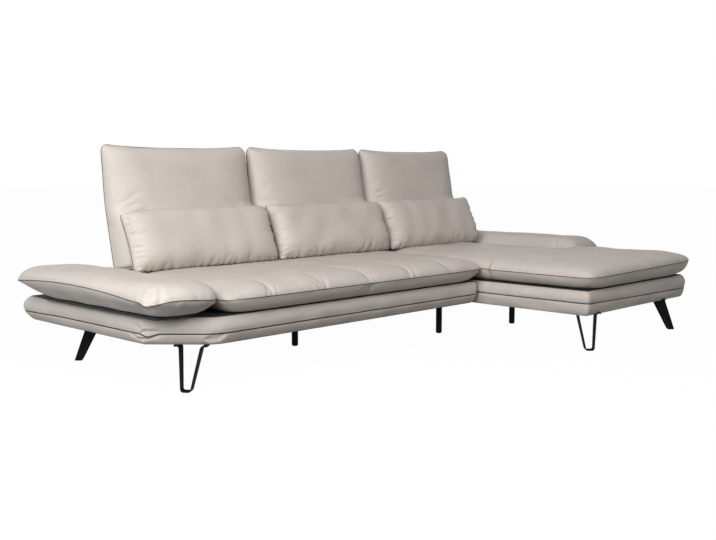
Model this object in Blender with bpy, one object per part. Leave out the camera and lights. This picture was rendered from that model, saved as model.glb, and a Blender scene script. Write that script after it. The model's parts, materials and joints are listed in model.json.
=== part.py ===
"""Leather corner sofa with a chaise, as the pieces it comes apart into.

Two upholstered bases stand side by side on bent steel legs. Each carries a seat cushion.
A pad at either end folds up on ratchet hinges to make an arm. Three backs slide rearwards
to deepen the seat, and each has a headrest that folds back on a hinge along its rear edge.

Metres, +Z up, -Y to the front and +X to the right as seen from the front. The origin is
on the floor, under the middle of the whole sofa.
"""

from math import atan2, cos, exp, pi, radians, sin, sqrt, tan

import bmesh
import bpy
from mathutils import Vector

# Plan of the two bases
MAIN_WIDTH = 1.965
CHAISE_WIDTH = 1.070
UNIT_GAP = 0.012
MAIN_DEPTH = 1.200
CHAISE_DEPTH = 1.855
CORNER_CUT_FRONT = 0.220
CORNER_CUT_SIDE = 0.235
BASE_CORNER_RADIUS = 0.020
CUT_SIDE_RADIUS = 0.020
CUT_FRONT_RADIUS = 0.120
TIGHTEST_RADIUS = 0.004

# Base upholstery
BASE_HEIGHT = 0.116
GROOVE_HEIGHT = 0.046
GROOVE_DEPTH = 0.006
GROOVE_HALF_WIDTH = 0.003
ROLL_INSET = 0.026
UNDERCUT = 0.018
COVER_WALL = 0.035
DECK_THICKNESS = 0.026
REAR_DECK_MARGIN = 0.0125

# Timber frame, webbing and dust cover
RAIL_THICKNESS = 0.022
WEB_THICKNESS = 0.002
WEB_WIDTH = 0.060
WEB_PITCH = 0.240
WEB_ANCHOR = 0.014
DUST_COVER_THICKNESS = 0.0012
DUST_COVER_INSET = 0.030

# Seat cushions
SEAT_THICKNESS = 0.129
SEAT_SEAM_HEIGHT = 0.066
CHAISE_SEAM_RISE = 0.016
CUSHION_LIP = 0.035
CHAISE_BULGE = 0.026
SEAT_REAR_INSET = 0.340
SIDE_GAP = 0.008
CHANNEL_PITCH = 0.286
CHANNEL_DEPTH = 0.006
CHANNEL_HALF_WIDTH = 0.016
DIVISION_DEPTH = 0.012
DIVISION_HALF_WIDTH = 0.020

# Arm pads
PAD_OVERHANG = 0.110
ARM_LINE = 0.245
PAD_FRONT_LIP = 0.045
PAD_CORNER_SETBACK = 0.075
PAD_TIP_ROUNDING = 0.130
PAD_FOREMOST = 0.156
PAD_REAR_INSET = 0.110
PAD_THICKNESS = 0.152
PAD_SEAM_HEIGHT = 0.064
PAD_SEAM_RISE = 0.022

# Arm hinges
ARM_BOARD_THICKNESS = 0.010
ARM_BOARD_CLEARANCE = 0.0035
ARM_BOARD_MARGIN = 0.090
ARM_AXIS_IN = 0.008
ARM_AXIS_LIFT = 0.062
ARM_PIN_RADIUS = 0.004
ARM_PLATE = 0.004
ARM_FLANGE = 0.003
ARM_EAR_RADIUS = 0.009
ARM_HINGE_WIDTH = 0.030
ARM_BRACKET_REACH = 0.045
ARM_LEVER_REACH = 0.060
ARM_LEVER_FLANGE = 0.040
ARM_HINGE_INSET = 0.230
ARM_SLOT_CLEARANCE = 0.008
ARM_ROOF_CLEARANCE = 0.003
ARM_PIN_END = 0.003

# Backs
BACK_SIDE_GAP = 0.008
BACK_GAP = 0.020
BACK_REAR_INSET = 0.352
BACK_CLEARANCE = 0.0065
BACK_HEIGHT = 0.3015
HEADREST_HEIGHT = 0.273
BACK_LEAN = 12.3
HEAD_LEAN = 4.9
BACK_THICKNESS = 0.133
HEAD_THICKNESS = 0.100
HEAD_TOP_SAG = 0.010
HEAD_CORNER_TUCK = 0.012
SHELL_THICKNESS = 0.015
SHELL_MARGIN = 0.012
HINGE_INSET = 0.004
HINGE_OPENING = 0.022
CREASE_DROP = 0.035
CREASE_GAP = 0.003
SEAT_TRAVEL = 0.220

# Back slides and headrest hinges, in steel
CARRIAGE_HEIGHT = 0.0415
STATION_OFFSET = 0.250
BAR_WIDTH = 0.040
BAR_THICKNESS = 0.006
TIE_HEIGHT = 0.020
RAIL_WIDTH = 0.016
RAIL_HEIGHT = 0.0085
RAIL_FOOT_WIDTH = 0.034
RAIL_FOOT_HEIGHT = 0.002
RAIL_MARGIN = 0.005
RUNNER_WIDTH = 0.030
RUNNER_LENGTH = 0.070
KNUCKLE_RADIUS = 0.008
KNUCKLE_BLOCK = 0.018
HEAD_PIN_RADIUS = 0.0047
HEAD_ARM_OFFSET = 0.300
HEAD_ARM_LENGTH = 0.150

# Lumbar cushions
LUMBAR_HEIGHT = 0.302
LUMBAR_LEAN = 23.0
LUMBAR_FRONT = 0.075
LUMBAR_REAR = 0.037
LUMBAR_AHEAD = 0.2112
LUMBAR_GAP = 0.006
LUMBAR_CORNER_TUCK = 0.034

# Legs
LEG_HEIGHT = 0.1802
LEG_STRIP = 0.006
LEG_TOP_WIDTH = 0.048
LEG_FOOT_WIDTH = 0.030
LEG_TOP_SPREAD = 0.092
LEG_FOOT_SPREAD = 0.040
LEG_SPLAY = 0.080
LEG_FLANGE = 0.024
LEG_BEND_RADIUS = 0.012
FRONT_FOOT_SIDE = 0.101
FRONT_FOOT_INSET = 0.061
REAR_FOOT_SIDE = 0.128
REAR_FOOT_INSET = 0.247
CHAISE_FOOT_LEFT = 0.037
CHAISE_FOOT_RIGHT = 0.162
CHAISE_FOOT_INSET = 0.010
FRONT_LEG_SKEW = 1.35
POST_RADIUS = 0.0165
POST_FLANGE_RADIUS = 0.030
POST_FLANGE_HEIGHT = 0.003
POST_EDGE = 0.080
POST_MIDDLE = 0.496
POST_CENTRE_SHIFT = 0.100
POST_FRONT_INSET = 0.210
CHAISE_POST_INSET = 0.766

# Plates that tie the two units together
LINK_LENGTH = 0.150
LINK_WIDTH = 0.050
LINK_THICKNESS = 0.003
LINK_FRONT_INSET = 0.100
LINK_REAR_INSET = 0.400

# Clearance between two pieces that touch, and how far joined shapes overlap
FIT = 0.0003
BITE = 0.0005

# Plan positions that follow from the sizes above
TOTAL_WIDTH = MAIN_WIDTH + UNIT_GAP + CHAISE_WIDTH + 2 * PAD_OVERHANG
TOTAL_DEPTH = CHAISE_DEPTH + CUSHION_LIP
MAIN_LEFT = PAD_OVERHANG - TOTAL_WIDTH / 2
MAIN_RIGHT = MAIN_LEFT + MAIN_WIDTH
CHAISE_LEFT = MAIN_RIGHT + UNIT_GAP
CHAISE_RIGHT = CHAISE_LEFT + CHAISE_WIDTH
REAR = TOTAL_DEPTH / 2
MAIN_FRONT = REAR - MAIN_DEPTH
CHAISE_FRONT = REAR - CHAISE_DEPTH
ARM_LINE_LEFT = MAIN_LEFT + ARM_LINE
ARM_LINE_RIGHT = CHAISE_RIGHT - ARM_LINE
SEAT_REAR = REAR - SEAT_REAR_INSET
DECK_FRONT = SEAT_REAR + REAR_DECK_MARGIN
DECK_REAR = REAR - REAR_DECK_MARGIN
BACK_REAR = REAR - BACK_REAR_INSET
PAD_WIDTH = ARM_LINE + PAD_OVERHANG
PAD_FRONT = MAIN_FRONT - PAD_FRONT_LIP
PAD_REAR = REAR - PAD_REAR_INSET
ARM_MIDDLE = (PAD_FRONT + PAD_REAR) / 2

# Heights that follow, from the floor up
DUST_COVER_BOTTOM = LEG_HEIGHT + FIT
BASE_BOTTOM = DUST_COVER_BOTTOM + DUST_COVER_THICKNESS + FIT
BASE_GROOVE = BASE_BOTTOM + GROOVE_HEIGHT
BASE_TOP = BASE_BOTTOM + BASE_HEIGHT
CAVITY_TOP = BASE_TOP - DECK_THICKNESS
FRAME_TOP = CAVITY_TOP - 2 * FIT - WEB_THICKNESS
SEAT_BOTTOM = BASE_TOP + FIT
SEAT_SEAM = BASE_TOP + SEAT_SEAM_HEIGHT
SEAT_TOP = BASE_TOP + SEAT_THICKNESS
BACK_BOTTOM = SEAT_TOP + BACK_CLEARANCE
REAR_DECK_TOP = BACK_BOTTOM - CARRIAGE_HEIGHT
BOARD_BOTTOM = BASE_TOP + ARM_BOARD_CLEARANCE
PAD_UNDERSIDE = BOARD_BOTTOM + ARM_BOARD_THICKNESS + FIT
PAD_SEAM = PAD_UNDERSIDE + PAD_SEAM_HEIGHT
PAD_TOP = PAD_UNDERSIDE + PAD_THICKNESS
ARM_AXIS_HEIGHT = PAD_UNDERSIDE + ARM_AXIS_LIFT
HINGE_HEIGHT = BACK_BOTTOM + BACK_HEIGHT
BACK_TOP = HINGE_HEIGHT + HEADREST_HEIGHT
CREASE_HEIGHT = HINGE_HEIGHT - CREASE_DROP
LOWER_SHELL_TOP = HINGE_HEIGHT - HINGE_OPENING
HEAD_SHELL_BOTTOM = HINGE_HEIGHT + HINGE_OPENING
SLOT = BAR_THICKNESS + 2 * FIT
BAR_OFFSET = SHELL_THICKNESS + FIT + BAR_THICKNESS
RAIL_FRONT = DECK_FRONT + RAIL_MARGIN
RUNNER_FRONT = RAIL_FRONT + RAIL_MARGIN
RAIL_REAR = RUNNER_FRONT + RUNNER_LENGTH + SEAT_TRAVEL + RAIL_MARGIN

SOFA = bpy.data.collections.new("corner_sofa")


def start_scene():
    """Empty the scene and add the collection for the sofa's pieces."""
    for old in list(bpy.data.objects):
        bpy.data.objects.remove(old, do_unlink=True)
    bpy.context.scene.collection.children.link(SOFA)


def material(name, colour, roughness, metallic=0.0):
    """A Principled material of one colour."""
    made = bpy.data.materials.new(name)
    made.use_nodes = True
    shader = made.node_tree.nodes["Principled BSDF"]
    shader.inputs["Base Color"].default_value = (*colour, 1.0)
    shader.inputs["Roughness"].default_value = roughness
    shader.inputs["Metallic"].default_value = metallic
    made.diffuse_color = (*colour, 1.0)
    return made


LEATHER = material("greige_leather", (0.56, 0.52, 0.49), 0.42)
SHADE_LEATHER = material("greige_leather_shade", (0.50, 0.46, 0.43), 0.48)
BLACK_STEEL = material("black_steel", (0.015, 0.015, 0.016), 0.45, 0.6)
ZINC_STEEL = material("zinc_steel", (0.55, 0.55, 0.53), 0.35, 1.0)
PLYWOOD = material("plywood", (0.62, 0.46, 0.28), 0.65)
BOARD_CLOTH = material("board_cloth", (0.02, 0.02, 0.02), 0.85)
WEBBING = material("elastic_webbing", (0.16, 0.15, 0.14), 0.85)
DUST_CLOTH = material("dust_cloth", (0.03, 0.03, 0.03), 0.9)


def keep(bm, name, skin, smooth=False):
    """Turn a bmesh into one of the sofa's objects."""
    bmesh.ops.recalc_face_normals(bm, faces=bm.faces)
    mesh = bpy.data.meshes.new(name)
    bm.to_mesh(mesh)
    bm.free()
    mesh.materials.append(skin)
    if smooth:
        mesh.shade_smooth()
        mesh.set_sharp_from_angle(angle=radians(50))
    piece = bpy.data.objects.new(name, mesh)
    SOFA.objects.link(piece)
    return piece


def box_mesh(low, high):
    """A bmesh box between two corners."""
    bm = bmesh.new()
    bmesh.ops.create_cube(bm, size=1.0)
    for vertex in bm.verts:
        for axis in range(3):
            share = vertex.co[axis] + 0.5
            vertex.co[axis] = low[axis] + share * (high[axis] - low[axis])
    return bm


def box(name, low, high, skin=ZINC_STEEL):
    """A box-shaped object between two corners."""
    return keep(box_mesh(low, high), name, skin)


def settle(piece):
    """Replace a piece's modifiers by the mesh that they make."""
    bpy.context.view_layer.update()
    graph = bpy.context.evaluated_depsgraph_get()
    made = bpy.data.meshes.new_from_object(piece.evaluated_get(graph))
    piece.modifiers.clear()
    piece.data = made
    return piece


def combine(base, others, operation="UNION"):
    """Join pieces to the base, or cut them from it, and remove them."""
    for other in others:
        change = base.modifiers.new(operation.lower(), "BOOLEAN")
        change.operation = operation
        change.solver = "EXACT"
        change.object = other
        settle(base)
        bpy.data.objects.remove(other, do_unlink=True)
    return base


def pivot(name, place, pieces, carrier=None):
    """Hang pieces, where they are, on an empty that lies on their joint's axis."""
    empty = bpy.data.objects.new(name, None)
    SOFA.objects.link(empty)
    empty.location = place
    bpy.context.view_layer.update()
    for piece in pieces:
        piece.parent = empty
        piece.matrix_parent_inverse = empty.matrix_world.inverted()
    if carrier:
        empty.parent = carrier
        empty.matrix_parent_inverse = carrier.matrix_world.inverted()
    return empty


def rod(name, start, end, radius, skin=ZINC_STEEL, sides=16):
    """A round bar between two points."""
    start = Vector(start)
    end = Vector(end)
    run = end - start
    bm = bmesh.new()
    bmesh.ops.create_cone(
        bm, cap_ends=True, segments=sides, radius1=radius, radius2=radius, depth=run.length
    )
    turn = run.to_track_quat("Z", "Y").to_matrix().to_4x4()
    bmesh.ops.transform(bm, matrix=turn, verts=bm.verts)
    bmesh.ops.translate(bm, vec=(start + end) / 2, verts=bm.verts)
    return keep(bm, name, skin, smooth=True)


def plate(name, outline, axis, low, high, skin=ZINC_STEEL):
    """A flat outline pushed out along X or Y between two planes."""
    bm = bmesh.new()
    corners = []
    for across, height in outline:
        place = (low, across, height) if axis == "X" else (across, low, height)
        corners.append(bm.verts.new(place))
    face = bm.faces.new(corners)
    pushed = bmesh.ops.extrude_face_region(bm, geom=[face])
    moved = [item for item in pushed["geom"] if isinstance(item, bmesh.types.BMVert)]
    shift = (high - low, 0, 0) if axis == "X" else (0, high - low, 0)
    bmesh.ops.translate(bm, vec=shift, verts=moved)
    return keep(bm, name, skin)


def rounded_outline(corners, inset, steps_per_turn=20):
    """Points round a convex outline whose corners are arcs, moved in by an inset.

    Each corner is x, y and radius, anticlockwise. Every inset gives as many points.
    """
    count = len(corners)
    points = []
    for index in range(count):
        here = Vector(corners[index][:2])
        before = (here - Vector(corners[index - 1][:2])).normalized()
        after = (Vector(corners[(index + 1) % count][:2]) - here).normalized()
        radius = max(corners[index][2] - inset, TIGHTEST_RADIUS)
        start = atan2(before.y, before.x) - pi / 2
        turn = (atan2(after.y, after.x) - atan2(before.y, before.x)) % (2 * pi)
        reach = (inset + radius) / cos(turn / 2)
        centre = here + (after - before).normalized() * reach
        steps = max(2, round(steps_per_turn * turn / (2 * pi)))
        for step in range(steps + 1):
            angle = start + turn * step / steps
            points.append(centre + radius * Vector((cos(angle), sin(angle))))
    return points


def stack(name, rings, skin, smooth=False):
    """A closed body through level rings of equal point count, bottom to top."""
    bm = bmesh.new()
    levels = []
    for points, height in rings:
        levels.append([bm.verts.new((point.x, point.y, height)) for point in points])
    count = len(levels[0])
    for lower, upper in zip(levels, levels[1:]):
        for index in range(count):
            after = (index + 1) % count
            bm.faces.new((lower[index], lower[after], upper[after], upper[index]))
    bm.faces.new(list(reversed(levels[0])))
    bm.faces.new(levels[-1])
    return keep(bm, name, skin, smooth)


def split_corners(bm, vertices):
    """Crease a sheet's four corner faces from the corner inwards."""
    for corner in [vertex for vertex in vertices if len(vertex.link_faces) == 1]:
        face = corner.link_faces[0]
        inner = [vertex for vertex in face.verts if len(vertex.link_faces) == 4]
        bmesh.ops.connect_verts(bm, verts=[corner, inner[0]])


def pillow(name, columns, rows, front, back, skin=LEATHER):
    """Two crowned sheets sewn together round their edge.

    columns and rows run from -1 to 1; front and back turn such a pair into a point.
    """
    bm = bmesh.new()
    for facing, sheet in ((1, front), (-1, back)):
        made = bmesh.ops.create_grid(
            bm, x_segments=len(columns) - 1, y_segments=len(rows) - 1, size=1.0
        )
        for vertex in made["verts"]:
            column = columns[round((vertex.co.x + 1) / 2 * (len(columns) - 1))]
            row = rows[round((vertex.co.y + 1) / 2 * (len(rows) - 1))]
            vertex.co = sheet(column, row)
        split_corners(bm, made["verts"])
        if facing < 0:
            faces = {face for vertex in made["verts"] for face in vertex.link_faces}
            bmesh.ops.reverse_faces(bm, faces=list(faces))
    bmesh.ops.remove_doubles(bm, verts=bm.verts, dist=1e-6)
    return keep(bm, name, skin, smooth=True)


def mirrored(stations):
    """Stations from 0 to 1, given with their mirror images from -1."""
    left = [-station for station in reversed(stations) if station > 0]
    return left + list(stations)


def crown(across, along, across_power, along_power):
    """Height of a stuffed panel, 1 in the middle and 0 at its edges."""
    side = 1 - abs(across) ** across_power
    end = 1 - abs(along) ** along_power
    return sqrt(max(side, 0.0) * max(end, 0.0))


def blend(start, end, share):
    """A value part of the way from start to end."""
    return start + (end - start) * share


def ease(value, low, high):
    """0 below low, 1 above high, and a smooth rise between them."""
    share = min(max((value - low) / (high - low), 0.0), 1.0)
    return share * share * (3 - 2 * share)


def groove(offset, depth, width):
    """A rounded groove's depth at a distance from its middle."""
    return depth * exp(-((offset / width) ** 2))


# The base units

def main_corners():
    """Plan of the main unit: its front left corner is cut off at a slant."""
    return [
        (MAIN_LEFT, MAIN_FRONT + CORNER_CUT_SIDE, CUT_SIDE_RADIUS),
        (MAIN_LEFT + CORNER_CUT_FRONT, MAIN_FRONT, CUT_FRONT_RADIUS),
        (MAIN_RIGHT, MAIN_FRONT, BASE_CORNER_RADIUS),
        (MAIN_RIGHT, REAR, BASE_CORNER_RADIUS),
        (MAIN_LEFT, REAR, BASE_CORNER_RADIUS),
    ]


def chaise_corners():
    """Plan of the chaise unit."""
    return [
        (CHAISE_LEFT, CHAISE_FRONT, BASE_CORNER_RADIUS),
        (CHAISE_RIGHT, CHAISE_FRONT, BASE_CORNER_RADIUS),
        (CHAISE_RIGHT, REAR, BASE_CORNER_RADIUS),
        (CHAISE_LEFT, REAR, BASE_CORNER_RADIUS),
    ]


def cover_profile():
    """Inset and height of the base cover's outside, from its bottom edge up."""
    roll_height = BASE_TOP - BASE_GROOVE
    return [
        (UNDERCUT, BASE_BOTTOM),
        (UNDERCUT * 0.25, blend(BASE_BOTTOM, BASE_GROOVE, 0.55)),
        (UNDERCUT * 0.10, BASE_GROOVE - GROOVE_HALF_WIDTH),
        (GROOVE_DEPTH, BASE_GROOVE),
        (ROLL_INSET * 0.05, BASE_GROOVE + GROOVE_HALF_WIDTH),
        (0.0, BASE_GROOVE + 0.40 * roll_height),
        (ROLL_INSET * 0.25, BASE_GROOVE + 0.75 * roll_height),
        (ROLL_INSET, BASE_TOP),
    ]


def base_cover(name, corners, deck_left, deck_right):
    """The upholstered border and deck of a base, open underneath.

    A raised deck across the rear, between the arms, carries the slides of the backs.
    """
    rings = [(rounded_outline(corners, inset), height) for inset, height in cover_profile()]
    cover = stack(name, rings, LEATHER, smooth=True)
    deck_low = (deck_left, DECK_FRONT, BASE_TOP - DECK_THICKNESS / 2)
    deck = box(name + "_deck", deck_low, (deck_right, DECK_REAR, REAR_DECK_TOP))
    cavity_plan = rounded_outline(corners, COVER_WALL)
    cavity_bottom = BASE_BOTTOM - COVER_WALL
    cavity = stack(name + "_cavity", [(cavity_plan, cavity_bottom), (cavity_plan, CAVITY_TOP)], LEATHER)
    combine(cover, [deck])
    combine(cover, [cavity], "DIFFERENCE")
    return cover


def frame(name, corners, left, right, front):
    """A rail ring inside the base cover, with two cross rails and one along the middle."""
    outside = rounded_outline(corners, COVER_WALL + FIT)
    inside = rounded_outline(corners, COVER_WALL + FIT + RAIL_THICKNESS)
    ring = stack(name, [(outside, BASE_BOTTOM), (outside, FRAME_TOP)], PLYWOOD)
    hole_low = BASE_BOTTOM - RAIL_THICKNESS
    hole_high = FRAME_TOP + RAIL_THICKNESS
    hole = stack(name + "_hole", [(inside, hole_low), (inside, hole_high)], PLYWOOD)
    combine(ring, [hole], "DIFFERENCE")
    wall = COVER_WALL + RAIL_THICKNESS / 2
    rails = []
    for share in (1 / 3, 2 / 3):
        x = blend(left, right, share) - RAIL_THICKNESS / 2
        low = (x, front + wall, BASE_BOTTOM)
        rails.append(box(name + "_rail", low, (x + RAIL_THICKNESS, REAR - wall, FRAME_TOP)))
    y = (front + REAR) / 2 - RAIL_THICKNESS / 2
    low = (left + wall, y, BASE_BOTTOM)
    rails.append(box(name + "_rail", low, (right - wall, y + RAIL_THICKNESS, FRAME_TOP)))
    return combine(ring, rails)


def strap_stations(low, high):
    """Edges of evenly spaced straps between two ends, with the ends themselves."""
    count = max(2, round((high - low) / WEB_PITCH))
    stations = [low]
    for index in range(count):
        centre = low + (index + 0.5) * (high - low) / count
        stations += [centre - WEB_WIDTH / 2, centre + WEB_WIDTH / 2]
    return stations + [high]


def webbing(name, left, right, front):
    """Elastic straps across the frame, woven into one mat."""
    anchor = COVER_WALL + WEB_ANCHOR
    across = strap_stations(left + anchor, right - anchor)
    along = strap_stations(front + anchor, REAR - anchor)
    bm = bmesh.new()
    bmesh.ops.create_grid(bm, x_segments=len(across) - 1, y_segments=len(along) - 1, size=1.0)
    openings = []
    for face in bm.faces:
        middle = face.calc_center_median()
        column = int((middle.x + 1) / 2 * (len(across) - 1))
        row = int((middle.y + 1) / 2 * (len(along) - 1))
        if column % 2 == 0 and row % 2 == 0:
            openings.append(face)
    for vertex in bm.verts:
        column = round((vertex.co.x + 1) / 2 * (len(across) - 1))
        row = round((vertex.co.y + 1) / 2 * (len(along) - 1))
        vertex.co = (across[column], along[row], FRAME_TOP + FIT)
    bmesh.ops.delete(bm, geom=openings, context="FACES")
    pushed = bmesh.ops.extrude_face_region(bm, geom=list(bm.faces))
    raised = [item for item in pushed["geom"] if isinstance(item, bmesh.types.BMVert)]
    bmesh.ops.translate(bm, vec=(0, 0, WEB_THICKNESS), verts=raised)
    return keep(bm, name, WEBBING)


def dust_cover(name, corners):
    """The black cloth that closes the underside of a base."""
    plan = rounded_outline(corners, DUST_COVER_INSET, steps_per_turn=12)
    top = DUST_COVER_BOTTOM + DUST_COVER_THICKNESS
    return stack(name, [(plan, DUST_COVER_BOTTOM), (plan, top)], DUST_CLOTH)


# Seat cushions

def edge_bow(share, power, round_in):
    """How far an edge draws in towards its ends, as a share of the half width."""
    return 1 - round_in * abs(share) ** power


def channel_dips(x, middle, half_width):
    """Sewn channels at a steady pitch either side of the cushion's middle."""
    total = groove(x - middle, DIVISION_DEPTH, DIVISION_HALF_WIDTH)
    count = int(half_width / CHANNEL_PITCH)
    for index in range(-count, count + 1):
        if index != 0:
            offset = x - middle - index * CHANNEL_PITCH
            total += groove(offset, CHANNEL_DEPTH, CHANNEL_HALF_WIDTH)
    return total


def channel_columns(half):
    """Columns that hold the middle seam and the sewn channels of a seat cushion."""
    stations = [0.0, 1.3 * DIVISION_HALF_WIDTH / half]
    count = int(half / CHANNEL_PITCH)
    for index in range(1, count + 1):
        for offset in (-1.3, 0.0, 1.3):
            stations.append((index * CHANNEL_PITCH + offset * CHANNEL_HALF_WIDTH) / half)
    stations = [station for station in stations if station < 0.94]
    return mirrored(stations + [0.965, 0.990, 1.0])


def seat_cushion():
    """The two-place cushion of the main unit, with a seam across its middle."""
    left = ARM_LINE_LEFT + SIDE_GAP
    right = MAIN_RIGHT + UNIT_GAP / 2 - SIDE_GAP / 4
    front = MAIN_FRONT - CUSHION_LIP
    middle = (left + right) / 2
    half = (right - left) / 2

    def plan(column, row):
        depth_share = (row + 1) / 2
        x = middle + half * column * edge_bow(row, 10, 0.014)
        y_front = front + 0.020 * abs(column) ** 12
        y = blend(y_front, SEAT_REAR, depth_share)
        return x, y

    def top(column, row):
        x, y = plan(column, row)
        rise = crown(column, row, 20, 8 if row < 0 else 30)
        dip = channel_dips(x, middle, half) * rise
        return x, y, SEAT_SEAM + (SEAT_TOP - SEAT_SEAM) * rise - dip

    def bottom(column, row):
        x, y = plan(column, row)
        fall = crown(column, row, 24, 14)
        return x, y, SEAT_SEAM - (SEAT_SEAM - SEAT_BOTTOM) * min(1.0, 1.08 * fall)

    rows = [-1.0, -0.985, -0.94, -0.85, -0.6, 0.0, 0.7, 0.98, 1.0]
    return pillow("seat_cushion", channel_columns(half), rows, top, bottom)


def chaise_cushion():
    """The long cushion of the chaise: it widens in front of the right-hand arm pad."""
    left = CHAISE_LEFT - UNIT_GAP / 2 + SIDE_GAP / 4
    free_left = CHAISE_LEFT - CHAISE_BULGE
    narrow_right = ARM_LINE_RIGHT - SIDE_GAP
    wide_right = CHAISE_RIGHT + CHAISE_BULGE
    front = CHAISE_FRONT - CUSHION_LIP
    shoulder = PAD_FRONT - SIDE_GAP
    shoulder_run = 4 * SIDE_GAP
    depth = SEAT_REAR - front

    def plan(column, row):
        y = blend(front, SEAT_REAR, (row + 1) / 2)
        narrowing = ease(y, shoulder - shoulder_run, shoulder)
        x_right = blend(wide_right, narrow_right, narrowing)
        x_left = blend(free_left, left, narrowing)
        x = blend(x_left, x_right, (column + 1) / 2)
        if row < 0:
            x = blend((x_left + x_right) / 2, x, edge_bow(row, 16, 0.045))
            y += 0.030 * abs(column) ** 10 * abs(row) ** 10
        return x, y

    def seam(column, row):
        return SEAT_SEAM + CHAISE_SEAM_RISE * (1 - row) / 2 * (1 + column) / 2

    def top(column, row):
        rise = crown(column, row, 10, 18 if row < 0 else 40)
        return *plan(column, row), blend(seam(column, row), SEAT_TOP, rise)

    def bottom(column, row):
        fall = min(1.0, 1.08 * crown(column, row, 12, 24))
        return *plan(column, row), blend(seam(column, row), SEAT_BOTTOM, fall)

    def row_at(y):
        return 2 * (y - front) / depth - 1

    rows = [-1.0, -0.99, -0.965, -0.91, -0.8, -0.5, -0.2]
    rows += [row_at(shoulder - shoulder_run), row_at(shoulder), row_at(shoulder + 0.05)]
    rows += [0.3, 0.65, 0.985, 1.0]
    columns = mirrored((0.0, 0.4, 0.75, 0.9, 0.97, 1.0))
    return pillow("chaise_cushion", columns, rows, top, bottom)


# Arm pads and their ratchet hinges. side is -1 on the left and 1 on the right.

def arm_line(side):
    """X of the inner edge of an arm pad."""
    return ARM_LINE_LEFT if side < 0 else ARM_LINE_RIGHT


def arm_hinge_places():
    """Y of the two hinges of an arm pad."""
    return {"front": PAD_FRONT + ARM_HINGE_INSET, "rear": PAD_REAR - ARM_HINGE_INSET}


def arm_x(side, outward):
    """X at a distance outwards from the inner edge of the pad."""
    return arm_line(side) + side * outward


def pad_front_edge(outward):
    """Y of the pad's front edge: foremost near the middle, rounded off at the seat."""
    if outward > PAD_FOREMOST:
        share = (outward - PAD_FOREMOST) / (PAD_WIDTH - PAD_FOREMOST)
        return PAD_FRONT + PAD_CORNER_SETBACK * share ** 2
    share = (PAD_FOREMOST - outward) / PAD_FOREMOST
    return PAD_FRONT + PAD_TIP_ROUNDING * share ** 5


def arm_pad(name, side):
    """The padded arm, lying low: a lens in section, with slots for its two hinges."""
    def plan(column, row):
        outward = PAD_WIDTH / 2 * (1 + column * edge_bow(row, 8, 0.02))
        rear = PAD_REAR - 0.03 * abs(column) ** 6
        return arm_x(side, outward), blend(pad_front_edge(outward), rear, (row + 1) / 2)

    def seam(column, row):
        outer = (1 + column) / 2
        return PAD_SEAM + PAD_SEAM_RISE * outer * (1 - row ** 2 + (1 + row) / 4)

    def top(column, row):
        rise = crown(column, row, 4 if column > 0 else 2, 9)
        return *plan(column, row), blend(seam(column, row), PAD_TOP, rise)

    def bottom(column, row):
        fall = min(1.0, 1.05 * crown(column, row, 5, 12))
        return *plan(column, row), blend(seam(column, row), PAD_UNDERSIDE, fall)

    columns = mirrored((0.0, 0.4, 0.7, 0.88, 0.97, 1.0))
    rows = mirrored((0.0, 0.45, 0.8, 0.93, 0.985, 1.0))
    pad = pillow(name, columns, rows, top, bottom)
    half = ARM_HINGE_WIDTH / 2 + ARM_SLOT_CLEARANCE
    outer = ARM_LEVER_REACH + ARM_LEVER_FLANGE + ARM_SLOT_CLEARANCE
    roof = ARM_AXIS_HEIGHT + ARM_EAR_RADIUS + ARM_ROOF_CLEARANCE
    for y in arm_hinge_places().values():
        edges = sorted((arm_x(side, outer), arm_x(side, -ARM_SLOT_CLEARANCE)))
        low = (edges[0], y - half, PAD_UNDERSIDE - ARM_SLOT_CLEARANCE)
        combine(pad, [box(name + "_slot", low, (edges[1], y + half, roof))], "DIFFERENCE")
    return pad


def arm_board(name, side):
    """The covered board that the pad is glued to."""
    edges = sorted((arm_x(side, ARM_LEVER_REACH), arm_x(side, PAD_WIDTH - ARM_BOARD_MARGIN)))
    low = (edges[0], PAD_FRONT + ARM_BOARD_MARGIN + PAD_CORNER_SETBACK / 2, BOARD_BOTTOM)
    high = (edges[1], PAD_REAR - ARM_BOARD_MARGIN, BOARD_BOTTOM + ARM_BOARD_THICKNESS)
    return box(name, low, high, BOARD_CLOTH)


def ear_outline(centre, foot_low, foot_high, foot_z):
    """A plate outline: a foot edge and a round head about the hinge axis."""
    points = [(foot_low, foot_z), (foot_high, foot_z)]
    steps = 8
    for step in range(steps + 1):
        angle = pi * step / steps
        reach = ARM_EAR_RADIUS * Vector((cos(angle), sin(angle)))
        points.append((centre + reach.x, ARM_AXIS_HEIGHT + reach.y))
    return points


def arm_bracket(name, side, y):
    """The hinge's fixed half: a foot on the base and an ear with a hole for the pin."""
    axis_x = arm_x(side, ARM_AXIS_IN)
    edges = sorted((arm_x(side, 0.0), arm_x(side, ARM_BRACKET_REACH)))
    foot_low = BASE_TOP + FIT
    foot_top = foot_low + ARM_FLANGE
    half = ARM_HINGE_WIDTH / 2
    foot = box(name, (edges[0], y - half, foot_low), (edges[1], y + half, foot_top))
    sides = sorted((arm_x(side, BITE), axis_x + side * ARM_EAR_RADIUS))
    outline = ear_outline(axis_x, *sides, foot_top - BITE)
    combine(foot, [plate(name + "_ear", outline, "Y", y + FIT, y + FIT + ARM_PLATE)])
    ends = [(axis_x, y + reach, ARM_AXIS_HEIGHT) for reach in (-half, half)]
    return combine(foot, [rod(name + "_hole", *ends, ARM_PIN_RADIUS + FIT)], "DIFFERENCE")


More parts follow.
